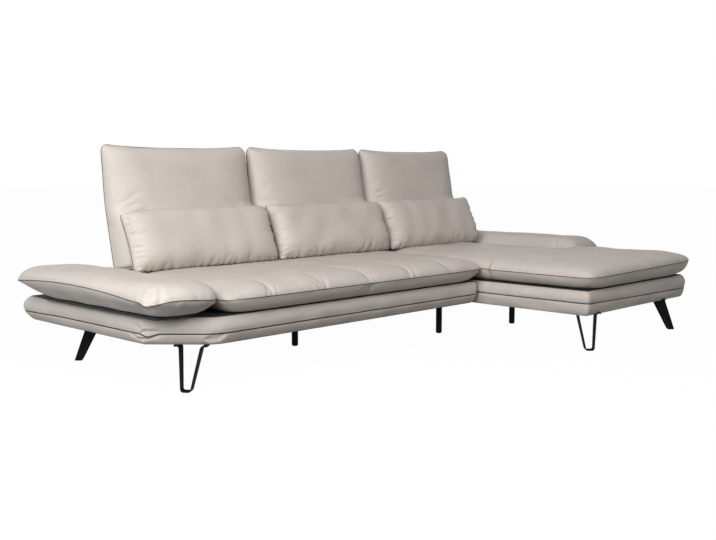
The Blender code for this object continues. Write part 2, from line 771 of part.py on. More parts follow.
def arm_lever(name, side, y):
    """The hinge's moving half: a flange on the board, a lever and its pin."""
    near = ARM_LEVER_REACH + ARM_FLANGE
    far = near + ARM_LEVER_FLANGE
    edges = sorted((arm_x(side, near), arm_x(side, far)))
    flange_low = BOARD_BOTTOM + ARM_BOARD_THICKNESS + FIT
    flange_high = flange_low + ARM_FLANGE
    half = ARM_HINGE_WIDTH / 2
    flange = box(name, (edges[0], y - half, flange_low), (edges[1], y + half, flange_high))
    outline = [
        (arm_x(side, blend(near, far, 0.5)), flange_high - BITE),
        (arm_x(side, near + BITE), flange_high - BITE),
    ]
    steps = 6
    for step in range(steps + 1):
        angle = pi * (1.25 - step / steps)
        outward = ARM_AXIS_IN + ARM_EAR_RADIUS * cos(angle)
        outline.append((arm_x(side, outward), ARM_AXIS_HEIGHT + ARM_EAR_RADIUS * sin(angle)))
    lever = plate(name + "_plate", outline, "Y", y - ARM_PLATE, y)
    ends = [
        (arm_x(side, ARM_AXIS_IN), y + reach, ARM_AXIS_HEIGHT)
        for reach in (-ARM_PLATE - ARM_PIN_END, ARM_PLATE + ARM_PIN_END)
    ]
    return combine(flange, [lever, rod(name + "_pin", *ends, ARM_PIN_RADIUS)])


def build_arm(side):
    """One arm pad with its board and its two hinges."""
    hand = "left" if side < 0 else "right"
    moving = [arm_pad("arm_pad_" + hand, side), arm_board("arm_board_" + hand, side)]
    for place, y in arm_hinge_places().items():
        arm_bracket(f"arm_bracket_{hand}_{place}", side, y)
        moving.append(arm_lever(f"arm_lever_{hand}_{place}", side, y))
    pivot("arm_axis_" + hand, (arm_x(side, ARM_AXIS_IN), ARM_MIDDLE, ARM_AXIS_HEIGHT), moving)


# Backs. Each is described by its number, its middle and its half width.

def back_places():
    """Middle X and half width of the three backs."""
    left = ARM_LINE_LEFT + BACK_SIDE_GAP
    main_pitch = (MAIN_RIGHT + UNIT_GAP / 2 - left) / 2
    chaise_right = ARM_LINE_RIGHT - BACK_SIDE_GAP
    places = []
    for low, high in (
        (left, left + main_pitch - BACK_GAP / 2),
        (left + main_pitch + BACK_GAP / 2, left + 2 * main_pitch - BACK_GAP / 2),
        (left + 2 * main_pitch + BACK_GAP / 2, chaise_right),
    ):
        places.append(((low + high) / 2, (high - low) / 2))
    return places


def rear_plane(z):
    """Y of the rear face of a back at a height: it leans, less above the hinge."""
    lower = BACK_REAR + (min(z, HINGE_HEIGHT) - BACK_BOTTOM) * tan(radians(BACK_LEAN))
    return lower + max(0.0, z - HINGE_HEIGHT) * tan(radians(HEAD_LEAN))


HINGE_Y = rear_plane(HINGE_HEIGHT) - HINGE_INSET
BACK_STATIONS = (0.0, 0.55, 0.86, 0.95, 0.985, 1.0)


def back_cushion(name, middle, half):
    """The lower, fixed part of a back: a slab with rounded edges."""
    rear_gap = SHELL_THICKNESS + SLOT
    depth = BACK_THICKNESS - rear_gap

    def front(column, row):
        swell = crown(column, row, 24, 14 if row < 0 else 90)
        top_edge = blend(LOWER_SHELL_TOP, CREASE_HEIGHT - CREASE_GAP / 2, swell)
        z = blend(BACK_BOTTOM, top_edge, (row + 1) / 2)
        x = middle + half * column
        return x, rear_plane(z) - rear_gap - depth * swell, z

    def back(column, row):
        z = blend(BACK_BOTTOM, LOWER_SHELL_TOP, (row + 1) / 2)
        return middle + half * column, rear_plane(z) - rear_gap, z

    rows = [-1.0, -0.985, -0.93, -0.6, 0.0, 0.6, 0.95, 0.99, 1.0]
    return pillow(name, mirrored(BACK_STATIONS), rows, front, back)


def headrest_cushion(name, middle, half):
    """The upper part of a back, with raised corners and a top edge that sags between them."""
    rear_gap = SHELL_THICKNESS + SLOT

    def across(column, row):
        return middle + column * (half - HEAD_CORNER_TUCK * max(row, 0.0) ** 8)

    def top_line(column):
        return BACK_TOP - HEAD_TOP_SAG * (1 - abs(column) ** 3)

    def front(column, row):
        swell = crown(column, row, 24, 90 if row < 0 else 6)
        low_edge = blend(HEAD_SHELL_BOTTOM, CREASE_HEIGHT + CREASE_GAP / 2, swell)
        z = blend(low_edge, top_line(column), (row + 1) / 2)
        depth = blend(BACK_THICKNESS, HEAD_THICKNESS, (row + 1) / 2) - rear_gap
        return across(column, row), rear_plane(z) - rear_gap - depth * swell, z

    def back(column, row):
        z = blend(HEAD_SHELL_BOTTOM, top_line(column), (row + 1) / 2)
        return across(column, row), rear_plane(z) - rear_gap, z

    rows = [-1.0, -0.99, -0.95, -0.6, 0.0, 0.5, 0.78, 0.93, 0.985, 1.0]
    return pillow(name, mirrored(BACK_STATIONS), rows, front, back)


def shell(name, middle, half, low, high):
    """A thin covered panel over the rear of a cushion, leaning with it."""
    bm = box_mesh((middle - half, -SHELL_THICKNESS, low), (middle + half, 0.0, high))
    for vertex in bm.verts:
        vertex.co.y += rear_plane(vertex.co.z)
    return keep(bm, name, SHADE_LEATHER)


def leaning_bar(name, x, low, high):
    """A flat bar in the slot between a shell and its cushion."""
    bm = box_mesh((x - BAR_WIDTH / 2, 0.0, low), (x + BAR_WIDTH / 2, BAR_THICKNESS, high))
    for vertex in bm.verts:
        vertex.co.y += rear_plane(vertex.co.z) - BAR_OFFSET
    return keep(bm, name, ZINC_STEEL)


def stations(middle):
    """X of the two rails, runners and uprights of a back."""
    return middle - STATION_OFFSET, middle + STATION_OFFSET


def slide_rails(name, middle):
    """Two rails on the rear deck, tied by a strap at each end."""
    foot_low = REAR_DECK_TOP + FIT
    foot_high = foot_low + RAIL_FOOT_HEIGHT
    parts = []
    for x in stations(middle):
        low = (x - RAIL_FOOT_WIDTH / 2, RAIL_FRONT, foot_low)
        parts.append(box(name, low, (x + RAIL_FOOT_WIDTH / 2, RAIL_REAR, foot_high)))
        low = (x - RAIL_WIDTH / 2, RAIL_FRONT, foot_low + BITE)
        parts.append(box(name, low, (x + RAIL_WIDTH / 2, RAIL_REAR, foot_high + RAIL_HEIGHT)))
    left, right = stations(middle)
    for y in (RAIL_FRONT + BITE, RAIL_REAR - TIE_HEIGHT - BITE):
        low = (left, y, foot_low + BITE)
        parts.append(box(name, low, (right, y + TIE_HEIGHT, foot_high - BITE)))
    return combine(parts[0], parts[1:])


def tie_bar(name, middle):
    """The flat bar that ties the two uprights halfway up."""
    z = blend(BACK_BOTTOM, HINGE_HEIGHT, 0.5)
    left, right = stations(middle)
    low = (left, BITE, z - TIE_HEIGHT / 2)
    bm = box_mesh(low, (right, BAR_THICKNESS - BITE, z + TIE_HEIGHT / 2))
    for vertex in bm.verts:
        vertex.co.y += rear_plane(vertex.co.z) - BAR_OFFSET
    return keep(bm, name, ZINC_STEEL)


def back_carriage(name, middle):
    """The steel that carries a back: runners, foot plates, uprights and hinge knuckles."""
    foot_top = BACK_BOTTOM - FIT
    foot_low = foot_top - BAR_THICKNESS
    rail_top = REAR_DECK_TOP + FIT + RAIL_FOOT_HEIGHT + RAIL_HEIGHT
    runner_low = REAR_DECK_TOP + 2 * FIT + RAIL_FOOT_HEIGHT
    runner_rear = RUNNER_FRONT + RUNNER_LENGTH
    foot_front = rear_plane(foot_top) - BAR_OFFSET
    parts = []
    cuts = []
    for x in stations(middle):
        low = (x - RUNNER_WIDTH / 2, RUNNER_FRONT, runner_low)
        high = (x + RUNNER_WIDTH / 2, runner_rear - BITE, foot_low + BITE)
        parts.append(box(name, low, high))
        low = (x - BAR_WIDTH / 2, foot_front, foot_low)
        parts.append(box(name, low, (x + BAR_WIDTH / 2, runner_rear, foot_top)))
        parts.append(leaning_bar(name, x, foot_low + BITE, HINGE_HEIGHT - HINGE_INSET))
        low = (x - BAR_WIDTH / 2 + BITE, HINGE_Y - BAR_OFFSET + HINGE_INSET, HINGE_HEIGHT - KNUCKLE_BLOCK)
        high = (x + BAR_WIDTH / 2 - BITE, HINGE_Y, HINGE_HEIGHT - BITE)
        parts.append(box(name, low, high))
        ends = [(x + reach, HINGE_Y, HINGE_HEIGHT) for reach in (-BAR_WIDTH / 2, BAR_WIDTH / 2)]
        parts.append(rod(name, *ends, KNUCKLE_RADIUS))
        low = (x - RAIL_WIDTH / 2 - FIT, RUNNER_FRONT - RAIL_WIDTH, runner_low - RAIL_HEIGHT)
        high = (x + RAIL_WIDTH / 2 + FIT, runner_rear + RAIL_WIDTH, rail_top + FIT)
        cuts.append(box(name, low, high))
        ends = [(x + reach, HINGE_Y, HINGE_HEIGHT) for reach in (-BAR_WIDTH, BAR_WIDTH)]
        cuts.append(rod(name, *ends, HEAD_PIN_RADIUS + FIT))
    carriage = combine(parts[0], parts[1:] + [tie_bar(name, middle)])
    return combine(carriage, cuts, "DIFFERENCE")


def headrest_hinge(name, middle):
    """The pin through the knuckles and the two arms that hold the headrest."""
    reach = HEAD_ARM_OFFSET + BAR_WIDTH / 2 + BITE
    start = (middle - reach, HINGE_Y, HINGE_HEIGHT)
    parts = [rod(name, start, (middle + reach, HINGE_Y, HINGE_HEIGHT), HEAD_PIN_RADIUS)]
    arm_top = HINGE_HEIGHT + HEAD_ARM_LENGTH
    for x in (middle - HEAD_ARM_OFFSET, middle + HEAD_ARM_OFFSET):
        parts.append(leaning_bar(name, x, HINGE_HEIGHT + HINGE_INSET, arm_top))
        low = (x - BAR_WIDTH / 2 + BITE, HINGE_Y - BAR_OFFSET + HINGE_INSET, HINGE_HEIGHT)
        high = (x + BAR_WIDTH / 2 - BITE, HINGE_Y + BITE, HINGE_HEIGHT + KNUCKLE_BLOCK)
        parts.append(box(name, low, high))
    return combine(parts[0], parts[1:])


def lumbar_cushion(name, middle, half):
    """The small loose cushion that leans on a back, with a seam all round."""
    lean = radians(LUMBAR_LEAN)
    foot_y = BACK_REAR - LUMBAR_AHEAD
    foot_z = SEAT_TOP + FIT
    half_height = LUMBAR_HEIGHT / 2

    def place(column, row, forward):
        along = half_height * (1 + row)
        y = foot_y + along * sin(lean) - forward * cos(lean)
        z = foot_z + along * cos(lean) + forward * sin(lean)
        return middle + column * (half - LUMBAR_CORNER_TUCK * row ** 4), y, z

    def front(column, row):
        return place(column, row, LUMBAR_FRONT * crown(column, row, 12, 2.4))

    def back(column, row):
        return place(column, row, -LUMBAR_REAR * crown(column, row, 12, 2.4))

    columns = mirrored((0.0, 0.6, 0.86, 0.95, 0.99, 1.0))
    rows = mirrored((0.0, 0.4, 0.75, 0.93, 1.0))
    return pillow(name, columns, rows, front, back)


def build_back(number, middle, half):
    """One back: cushions, shells, carriage, rails, headrest hinge and lumbar cushion."""
    tag = f"_{number}"
    shell_half = half - SHELL_MARGIN
    head_shell_top = BACK_TOP - HEAD_TOP_SAG
    lumbar_middle = middle - BACK_GAP / 2
    lumbar_half = half + (BACK_GAP - LUMBAR_GAP) / 2
    slide_rails("slide_rails" + tag, middle)
    sliding = [
        back_cushion("back_cushion" + tag, middle, half),
        shell("back_shell" + tag, middle, shell_half, BACK_BOTTOM, LOWER_SHELL_TOP),
        back_carriage("back_carriage" + tag, middle),
        lumbar_cushion("lumbar_cushion" + tag, lumbar_middle, lumbar_half),
    ]
    slide = pivot("back_slide_axis" + tag, (middle, RUNNER_FRONT, REAR_DECK_TOP), sliding)
    tilting = [
        headrest_cushion("headrest_cushion" + tag, middle, half),
        shell("headrest_shell" + tag, middle, shell_half, HEAD_SHELL_BOTTOM, head_shell_top),
        headrest_hinge("headrest_hinge" + tag, middle),
    ]
    pivot("headrest_axis" + tag, (middle, HINGE_Y, HINGE_HEIGHT), tilting, slide)


# Legs

def leg_path():
    """Middle line of the bent strip, in the plane of its V, from one flange to the other."""
    top = LEG_HEIGHT - LEG_STRIP / 2
    foot = LEG_STRIP / 2
    half_top = LEG_TOP_SPREAD / 2
    half_foot = LEG_FOOT_SPREAD / 2
    corners = [
        (-half_top - LEG_FLANGE, top),
        (-half_top, top),
        (-half_foot, foot),
        (half_foot, foot),
        (half_top, top),
        (half_top + LEG_FLANGE, top),
    ]
    path = [Vector(corners[0])]
    for before, here, after in zip(corners, corners[1:], corners[2:]):
        path += bend(Vector(before), Vector(here), Vector(after))
    path.append(Vector(corners[-1]))
    return path


def bend(before, here, after, steps=4):
    """Points along the arc that rounds a bend of the strip."""
    towards = (before - here).normalized()
    onwards = (after - here).normalized()
    opening = towards.angle(onwards)
    cut = LEG_BEND_RADIUS / tan(opening / 2)
    start = here + towards * cut
    end = here + onwards * cut
    centre = here + (towards + onwards).normalized() * LEG_BEND_RADIUS / sin(opening / 2)
    points = []
    for step in range(steps + 1):
        share = step / steps
        chord = start.lerp(end, share) - centre
        points.append(centre + chord.normalized() * LEG_BEND_RADIUS)
    return points


def strip_leg(name, foot_x, foot_y, out_x, out_y):
    """A V bent from flat strip: its foot reaches out past its top, along a diagonal."""
    path = leg_path()
    outward = Vector((out_x, out_y, 0)).normalized()
    across = Vector((-outward.y, outward.x, 0))
    foot = Vector((foot_x, foot_y, 0))
    bm = bmesh.new()
    sections = []
    for index, point in enumerate(path):
        before = path[max(index - 1, 0)]
        after = path[min(index + 1, len(path) - 1)]
        tangent = (after - before).normalized()
        normal = Vector((-tangent.y, tangent.x))
        section = []
        for edge, face in ((-1, -1), (1, -1), (1, 1), (-1, 1)):
            spot = point + normal * face * LEG_STRIP / 2
            share = min(max(spot.y / LEG_HEIGHT, 0.0), 1.0)
            width = blend(LEG_FOOT_WIDTH, LEG_TOP_WIDTH, share)
            reach = edge * width / 2 - LEG_SPLAY * share
            section.append(foot + across * spot.x + outward * reach + Vector((0, 0, spot.y)))
        sections.append([bm.verts.new(corner) for corner in section])
    for near, far in zip(sections, sections[1:]):
        for index in range(4):
            after = (index + 1) % 4
            bm.faces.new((near[index], near[after], far[after], far[index]))
    bm.faces.new(list(reversed(sections[0])))
    bm.faces.new(sections[-1])
    return keep(bm, name, BLACK_STEEL)


def post_leg(name, x, y):
    """A turned support post with a flange at its top and a rounded foot."""
    profile = [
        (0.0, LEG_HEIGHT),
        (POST_FLANGE_RADIUS, LEG_HEIGHT),
        (POST_FLANGE_RADIUS, LEG_HEIGHT - POST_FLANGE_HEIGHT),
        (POST_RADIUS, LEG_HEIGHT - POST_FLANGE_HEIGHT),
        (POST_RADIUS, POST_RADIUS * 0.45),
        (POST_RADIUS * 0.88, POST_RADIUS * 0.14),
        (POST_RADIUS * 0.68, 0.0),
        (0.0, 0.0),
    ]
    bm = bmesh.new()
    points = [bm.verts.new((x + radius, y, z)) for radius, z in profile]
    for upper, lower in zip(points, points[1:]):
        bm.edges.new((upper, lower))
    bmesh.ops.spin(
        bm,
        geom=list(bm.verts) + list(bm.edges),
        cent=(x, y, 0),
        axis=(0, 0, 1),
        angle=2 * pi,
        steps=20,
        use_merge=True,
    )
    bmesh.ops.remove_doubles(bm, verts=bm.verts, dist=1e-6)
    return keep(bm, name, BLACK_STEEL, smooth=True)


def build_legs():
    """Five strip legs near the corners and five posts under the frames."""
    rear_y = REAR - REAR_FOOT_INSET
    front_x = MAIN_LEFT + FRONT_FOOT_SIDE
    strip_leg("leg_front_left", front_x, MAIN_FRONT + FRONT_FOOT_INSET, -FRONT_LEG_SKEW, -1)
    strip_leg("leg_rear_left", MAIN_LEFT + REAR_FOOT_SIDE, rear_y, -1, 1)
    chaise_y = CHAISE_FRONT + CHAISE_FOOT_INSET
    strip_leg("leg_chaise_left", CHAISE_LEFT + CHAISE_FOOT_LEFT, chaise_y, -1, -1)
    strip_leg("leg_chaise_right", CHAISE_RIGHT - CHAISE_FOOT_RIGHT, chaise_y, 1, -1)
    strip_leg("leg_rear_right", CHAISE_RIGHT - REAR_FOOT_SIDE, rear_y, 1, 1)
    main_middle = (MAIN_LEFT + MAIN_RIGHT) / 2
    post_leg("post_centre", main_middle + POST_CENTRE_SHIFT, MAIN_FRONT + POST_MIDDLE)
    post_leg("post_front", MAIN_RIGHT - POST_EDGE, MAIN_FRONT + POST_FRONT_INSET)
    post_leg("post_rear", MAIN_RIGHT - POST_EDGE, rear_y)
    chaise_middle = (CHAISE_LEFT + CHAISE_RIGHT) / 2
    post_leg("post_chaise_centre", chaise_middle - POST_EDGE, CHAISE_FRONT + CHAISE_POST_INSET)
    post_leg("post_chaise_rear", CHAISE_LEFT + POST_EDGE, rear_y)


def link_plate(name, y):
    """A flat plate screwed under both frames to hold the units together."""
    middle = (MAIN_RIGHT + CHAISE_LEFT) / 2
    low = (middle - LINK_LENGTH / 2, y - LINK_WIDTH / 2, LEG_HEIGHT - LINK_THICKNESS)
    return box(name, low, (middle + LINK_LENGTH / 2, y + LINK_WIDTH / 2, LEG_HEIGHT))


def build_bases():
    """Both bases, from the dust cover up to the seat cushions."""
    main_deck = (ARM_LINE_LEFT + REAR_DECK_MARGIN, MAIN_RIGHT - ROLL_INSET)
    chaise_deck = (CHAISE_LEFT + ROLL_INSET, ARM_LINE_RIGHT - REAR_DECK_MARGIN)
    base_cover("base_cover_main", main_corners(), *main_deck)
    base_cover("base_cover_chaise", chaise_corners(), *chaise_deck)
    frame("frame_main", main_corners(), MAIN_LEFT, MAIN_RIGHT, MAIN_FRONT)
    frame("frame_chaise", chaise_corners(), CHAISE_LEFT, CHAISE_RIGHT, CHAISE_FRONT)
    webbing("webbing_main", MAIN_LEFT + CORNER_CUT_FRONT, MAIN_RIGHT, MAIN_FRONT)
    webbing("webbing_chaise", CHAISE_LEFT, CHAISE_RIGHT, CHAISE_FRONT)
    dust_cover("dust_cover_main", main_corners())
    dust_cover("dust_cover_chaise", chaise_corners())
    seat_cushion()
    chaise_cushion()


def main():
    """Build the whole sofa."""
    start_scene()
    build_bases()
    build_legs()
    link_plate("link_plate_front", MAIN_FRONT + LINK_FRONT_INSET)
    link_plate("link_plate_rear", REAR - LINK_REAR_INSET)
    build_arm(-1)
    build_arm(1)
    for number, (middle, half) in enumerate(back_places(), start=1):
        build_back(number, middle, half)


main()
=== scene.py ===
"""Looks of the leather corner sofa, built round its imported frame.

Covers, cushions and pads are sheets of leather given by formulas in metres, sewn edge to edge
and marked with seams, channels and gathers. Places come from the frame's own boxes.
"""

import json
from math import atan2, cos, pi, radians, sin, tan

import bmesh
import bpy
import numpy as np
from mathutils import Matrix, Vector


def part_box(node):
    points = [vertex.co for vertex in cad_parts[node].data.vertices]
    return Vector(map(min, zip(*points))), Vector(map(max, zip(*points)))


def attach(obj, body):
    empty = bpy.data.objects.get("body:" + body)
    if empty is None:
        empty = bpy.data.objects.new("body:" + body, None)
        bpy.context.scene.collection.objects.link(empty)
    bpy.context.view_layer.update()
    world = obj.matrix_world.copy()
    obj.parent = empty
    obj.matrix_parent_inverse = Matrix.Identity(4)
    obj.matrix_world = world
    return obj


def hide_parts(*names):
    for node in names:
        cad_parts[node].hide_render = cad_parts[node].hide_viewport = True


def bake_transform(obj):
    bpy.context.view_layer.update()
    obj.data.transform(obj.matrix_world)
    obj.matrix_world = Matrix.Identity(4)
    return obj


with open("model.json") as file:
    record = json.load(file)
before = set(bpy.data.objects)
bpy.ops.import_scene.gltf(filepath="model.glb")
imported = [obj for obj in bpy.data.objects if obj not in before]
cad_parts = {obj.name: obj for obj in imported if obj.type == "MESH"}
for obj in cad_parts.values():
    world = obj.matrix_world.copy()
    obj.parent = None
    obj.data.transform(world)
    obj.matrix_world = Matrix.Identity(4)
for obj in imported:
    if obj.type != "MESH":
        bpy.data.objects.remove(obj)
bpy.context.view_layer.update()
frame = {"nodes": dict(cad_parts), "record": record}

BACKS = (1, 2, 3)
HANDS = {"left": -1, "right": 1}

# Camera, at the photograph's viewing angle
CAMERA_PLACE = (-3.6451, -3.3114, 0.9)
CAMERA_HEADING = radians(44.105)
CAMERA_DIP = radians(6.13)
CAMERA_LENS = 47.84
CAMERA_SENSOR = 36.0

# Base upholstery
BASE_HEIGHT = 0.116
GROOVE_HEIGHT = 0.046
ROLL_INSET = 0.026
BASE_CORNER_RADIUS = 0.028
CORNER_CUT_FRONT = 0.220
CORNER_CUT_SIDE = 0.235
CUT_SIDE_RADIUS = 0.024
CUT_FRONT_RADIUS = 0.120
DECK_MARGIN = 0.0125
DECK_SINK = 0.004

# Seat cushions
SEAT_SEAM_HEIGHT = 0.066
CHAISE_SEAM_RISE = 0.016
SEAT_THICKNESS = 0.129
CHANNEL_PITCH = 0.300
MIDDLE_SEAM = -0.440
# Depth and width of a channel's stitched line and of the valley round it, and the half width sewn down
CHANNEL_DEPTH = 0.0042
CHANNEL_WIDTH = 0.010
VALLEY_DEPTH = 0.0028
VALLEY_WIDTH = 0.045
CHANNEL_SEWN = 0.006
SIDE_GAP = 0.008
UNIT_GAP = 0.012
CHAISE_BULGE = 0.026

# Arm pads
PAD_WIDTH = 0.355
PAD_THICKNESS = 0.152
PAD_SEAM_HEIGHT = 0.064
PAD_SEAM_RISE = 0.022
PAD_CORNER_SETBACK = {"left": 0.075, "right": 0.006}
PAD_TIP_ROUNDING = 0.130
PAD_FOREMOST = 0.156
PAD_CREST_SHIFT = {"left": -0.0085, "right": 0.0165}
PAD_FRONT_POWER = {"left": 9, "right": 18}
PAD_REAR_POWER = 16
PAD_FRONT_LIFT = 0.014
PAD_CORNER_DIP = 0.004
PAD_TUCK = 0.016
SLOT_ROOM = 0.007
# Room for the pad's inner edge to turn: rise at the edge, slope inwards and softness of the limit
PAD_ROOM_RISE = 0.074
PAD_ROOM_SLOPE = 1.15
PAD_ROOM_SOFTNESS = 0.006
# Folds on the pad's top: two ends, outwards from its inner edge and back from its front,
# then width and depth
PAD_TOP_FOLDS = [
    ((0.350, 0.480), (0.285, 0.560), 0.0095, 0.0060),
    ((0.348, 0.440), (0.300, 0.500), 0.0080, 0.0050),
    ((0.345, 0.110), (0.290, 0.160), 0.0095, 0.0075),
    ((0.350, 0.075), (0.300, 0.090), 0.0080, 0.0075),
    ((0.310, 0.030), (0.270, 0.085), 0.0095, 0.0070),
    ((0.020, 0.130), (0.075, 0.150), 0.0080, 0.0060),
    ((0.045, 0.060), (0.090, 0.100), 0.0080, 0.0060),
]
# Folds under the pad's front corner: two ends, along its edge and below its seam, width and depth
PAD_FOLDS = [
    ((-0.038, 0.003), (0.002, 0.021), 0.0080, 0.0095),
    ((0.002, 0.021), (0.050, 0.006), 0.0080, 0.0090),
    ((-0.065, 0.012), (-0.010, 0.040), 0.0095, 0.0075),
    ((-0.010, 0.040), (0.060, 0.018), 0.0095, 0.0070),
]

# Backs
BACK_LEAN = radians(12.3)
HEAD_LEAN = radians(4.9)
BACK_DEPTH = 0.133
HEAD_DEPTH = 0.100
SHELL_DEPTH = 0.0215
CREASE_DROP = 0.035
BEND_SOFTNESS = 0.02
SHELL_PROUD = 0.012
SIDE_SEAM_HEIGHT = 0.640
HEAD_TOP_SAG = 0.012
HEAD_CORNER_RADIUS = 0.032
SIDE_POWER_FOOT = 24
SIDE_POWER_HEAD = 6

# Lumbar cushions
LUMBAR_HEIGHT = 0.296
LUMBAR_LEAN = radians(23.0)
LUMBAR_FRONT = 0.075
LUMBAR_REAR = 0.035
LUMBAR_CORNER_TUCK = 0.012
LUMBAR_END_BOW = 0.012
LUMBAR_TOP_POWER = 5
LUMBAR_FOOT_POWER = 3.2
LUMBAR_FOOT_SETBACK = 0.2112
# A thicker near-black cord along the lumbar's foot: painted shade where it meets the seat
FOOT_WELT_RADIUS = 0.0032
LUMBAR_CORNER_LIFT = {(1, -1): -0.016, (2, -1): 0.004, (3, -1): 0.004, (3, 1): 0.013}
# Folds on the backs: two ends, from the back's middle and above the crease, width and depth
BACK_FOLDS = {
    1: [
        ((-0.354, -0.011), (-0.249, 0.014), 0.008, 0.0060),
        ((-0.374, 0.015), (-0.306, 0.036), 0.008, 0.0030),
        ((-0.355, 0.063), (-0.280, 0.092), 0.011, 0.0040),
        ((-0.392, 0.034), (-0.340, 0.056), 0.009, 0.0030),
        ((0.140, 0.114), (0.291, 0.036), 0.016, 0.0040),
        ((0.202, 0.043), (0.311, 0.005), 0.012, 0.0040),
    ],
    2: [
        ((-0.400, 0.034), (-0.325, 0.024), 0.009, 0.0035),
        ((-0.390, 0.075), (-0.345, 0.115), 0.011, 0.0035),
        ((0.153, 0.052), (0.284, 0.021), 0.013, 0.0035),
    ],
    3: [
        ((-0.385, 0.043), (-0.288, 0.076), 0.010, 0.0050),
        ((-0.385, 0.098), (-0.340, 0.128), 0.011, 0.0035),
        ((-0.380, 0.018), (-0.300, 0.035), 0.009, 0.0035),
        ((0.253, 0.059), (0.344, 0.013), 0.013, 0.0035),
    ],
}

# Light: name, place, aim, width, power and colour of each lamp, then the world and the floor
LAMPS = [
    ("side", (-5.6, -1.4, 1.8), (0.0, 0.1, 0.4), 2.2, 125.0, (0.97, 0.99, 1.0)),
    ("key", (-4.4, -3.0, 3.0), (0.0, 0.1, 0.4), 2.2, 92.0, (1.0, 0.99, 0.98)),
    ("high", (-3.4, -1.2, 3.0), (-0.6, 0.2, 0.4), 2.0, 55.0, (1.0, 1.0, 1.0)),
    ("top", (-1.5, -2.0, 4.4), (0.0, 0.3, 0.4), 2.4, 40.0, (1.0, 0.98, 0.96)),
    ("front", (-1.0, -4.5, 2.6), (0.6, 0.5, 0.6), 2.4, 30.0, (1.0, 0.99, 0.98)),
    ("fill", (4.0, 4.0, 2.6), (0.0, 0.1, 0.5), 2.4, 10.0, (1.0, 0.98, 0.96)),
]
AMBIENT = 0.13
FLOOR_BOUNCE = 0.12
FLOOR_GLOW = 0.98

WHITE = (1.0, 1.0, 1.0, 1.0)

# Seams and welts
PINCH_DEPTH = 0.0022
PINCH_REACH = 0.006
TOPSTITCH_PLACE = 0.010
TOPSTITCH_WIDTH = 0.0016
TOPSTITCH_DEPTH = 0.0010
WELT_RADIUS = 0.0017
SIDE_SEAM_RADIUS = 0.0011
HAIR = 0.0003
# A direction that no cord runs along
CORD_UPRIGHT = (0.13, 0.21, 1.0)

# Stuffing of each kind of cover: spacing of its grid, pressure, hold on its form and furthest move
STUFFING = {
    "seat": (0.0125, 3.0, 0.55, 0.006),
    "pad": (0.0100, 3.0, 0.50, 0.008),
    "back": (0.0125, 3.0, 0.50, 0.006),
    "lumbar": (0.0080, 4.0, 0.45, 0.010),
}
CLOTH_FRAMES = 14
CLOTH = {
    "quality": 4, "mass": 0.3, "tension_stiffness": 20.0, "compression_stiffness": 20.0,
    "shear_stiffness": 6.0, "bending_stiffness": 2.0, "pin_stiffness": 1.0,
    "vertex_group_mass": "pins", "shrink_min": -0.006, "use_pressure": True,
}
# Columns and rows of each cover's grid: spacing, share of each half that is close, and its cells
GRIDS = {
    "deck": ((0.0200, 0.04, 12), (0.0120, 0.10, 12)),
    "seat": ((0.0065, 0.05, 14), (0.0065, 0.08, 18)),
    "chaise": ((0.0070, 0.08, 18), (0.0070, 0.05, 16)),
    "pad": ((0.0060, 0.10, 16), (0.0070, 0.06, 16)),
    "back": ((0.0080, 0.06, 20), (0.0080, 0.06, 14)),
    "panel": ((0.0120, 0.04, 12), (0.0120, 0.06, 12)),
    "lumbar": ((0.0050, 0.06, 16), (0.0050, 0.10, 12)),
}
# Gathers by place: how many, greatest depth, length and width, and how far they lean
GATHERS = {
    "base_upper": (60, 0.0036, 0.050, 0.0080, 0.25),
    "base_lower": (50, 0.0014, 0.030, 0.0080, 0.25),
    "seat_channel": (4, 0.0045, 0.070, 0.0060, 0.35),
    "seat_front": (26, 0.0018, 0.040, 0.0090, 0.25),
    "seat_end": (6, 0.0050, 0.120, 0.0070, 0.30),
    "seat_middle": (4, 0.0070, 0.060, 0.0060, 0.25),
    "seat_below": (22, 0.0016, 0.040, 0.0120, 0.25),
    "chaise_front": (24, 0.0034, 0.060, 0.0080, 0.25),
    "chaise_side": (14, 0.0030, 0.050, 0.0080, 0.25),
    "chaise_below": (22, 0.0022, 0.050, 0.0100, 0.25),
    "pad_front": (12, 0.0030, 0.045, 0.0080, 0.25),
    "pad_side": (18, 0.0018, 0.050, 0.0120, 0.25),
    "back_side": (9, 0.0022, 0.035, 0.0050, 0.50),
    "lumbar_end": (17, 0.0090, 0.050, 0.0042, 0.25),
    "lumbar_foot": (22, 0.0060, 0.040, 0.0080, 0.25),
    "lumbar_top": (14, 0.0035, 0.040, 0.0090, 0.25),
}
# Above a cushion's underside, where its stuffing begins to move it and where it does so fully
REST_EDGE = 0.004
REST_END = 0.020

# Places that the frame gives
base_low, base_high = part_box("base_cover_main")
chaise_low, chaise_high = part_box("base_cover_chaise")
MAIN_LEFT, MAIN_FRONT, BASE_BOTTOM = base_low
MAIN_RIGHT, REAR, REAR_DECK_TOP = base_high
CHAISE_LEFT, CHAISE_FRONT = chaise_low.x, chaise_low.y
CHAISE_RIGHT = chaise_high.x
BASE_TOP = BASE_BOTTOM + BASE_HEIGHT
GROOVE = BASE_BOTTOM + GROOVE_HEIGHT
SEAT_SEAM = BASE_TOP + SEAT_SEAM_HEIGHT
SEAT_TOP = BASE_TOP + SEAT_THICKNESS
SEAT_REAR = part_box("seat_cushion")[1].y
BACK_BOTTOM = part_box("back_shell_1")[0].z
LOWER_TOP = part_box("back_shell_1")[1].z
HEAD_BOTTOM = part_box("headrest_shell_1")[0].z
HEAD_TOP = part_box("headrest_cushion_1")[1].z
HINGE_HEIGHT = (LOWER_TOP + HEAD_BOTTOM) / 2
CREASE = HINGE_HEIGHT - CREASE_DROP
BACK_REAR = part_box("back_shell_1")[1].y - (LOWER_TOP - BACK_BOTTOM) * tan(BACK_LEAN)
HEAD_HALF = (HEAD_TOP - CREASE) / 2
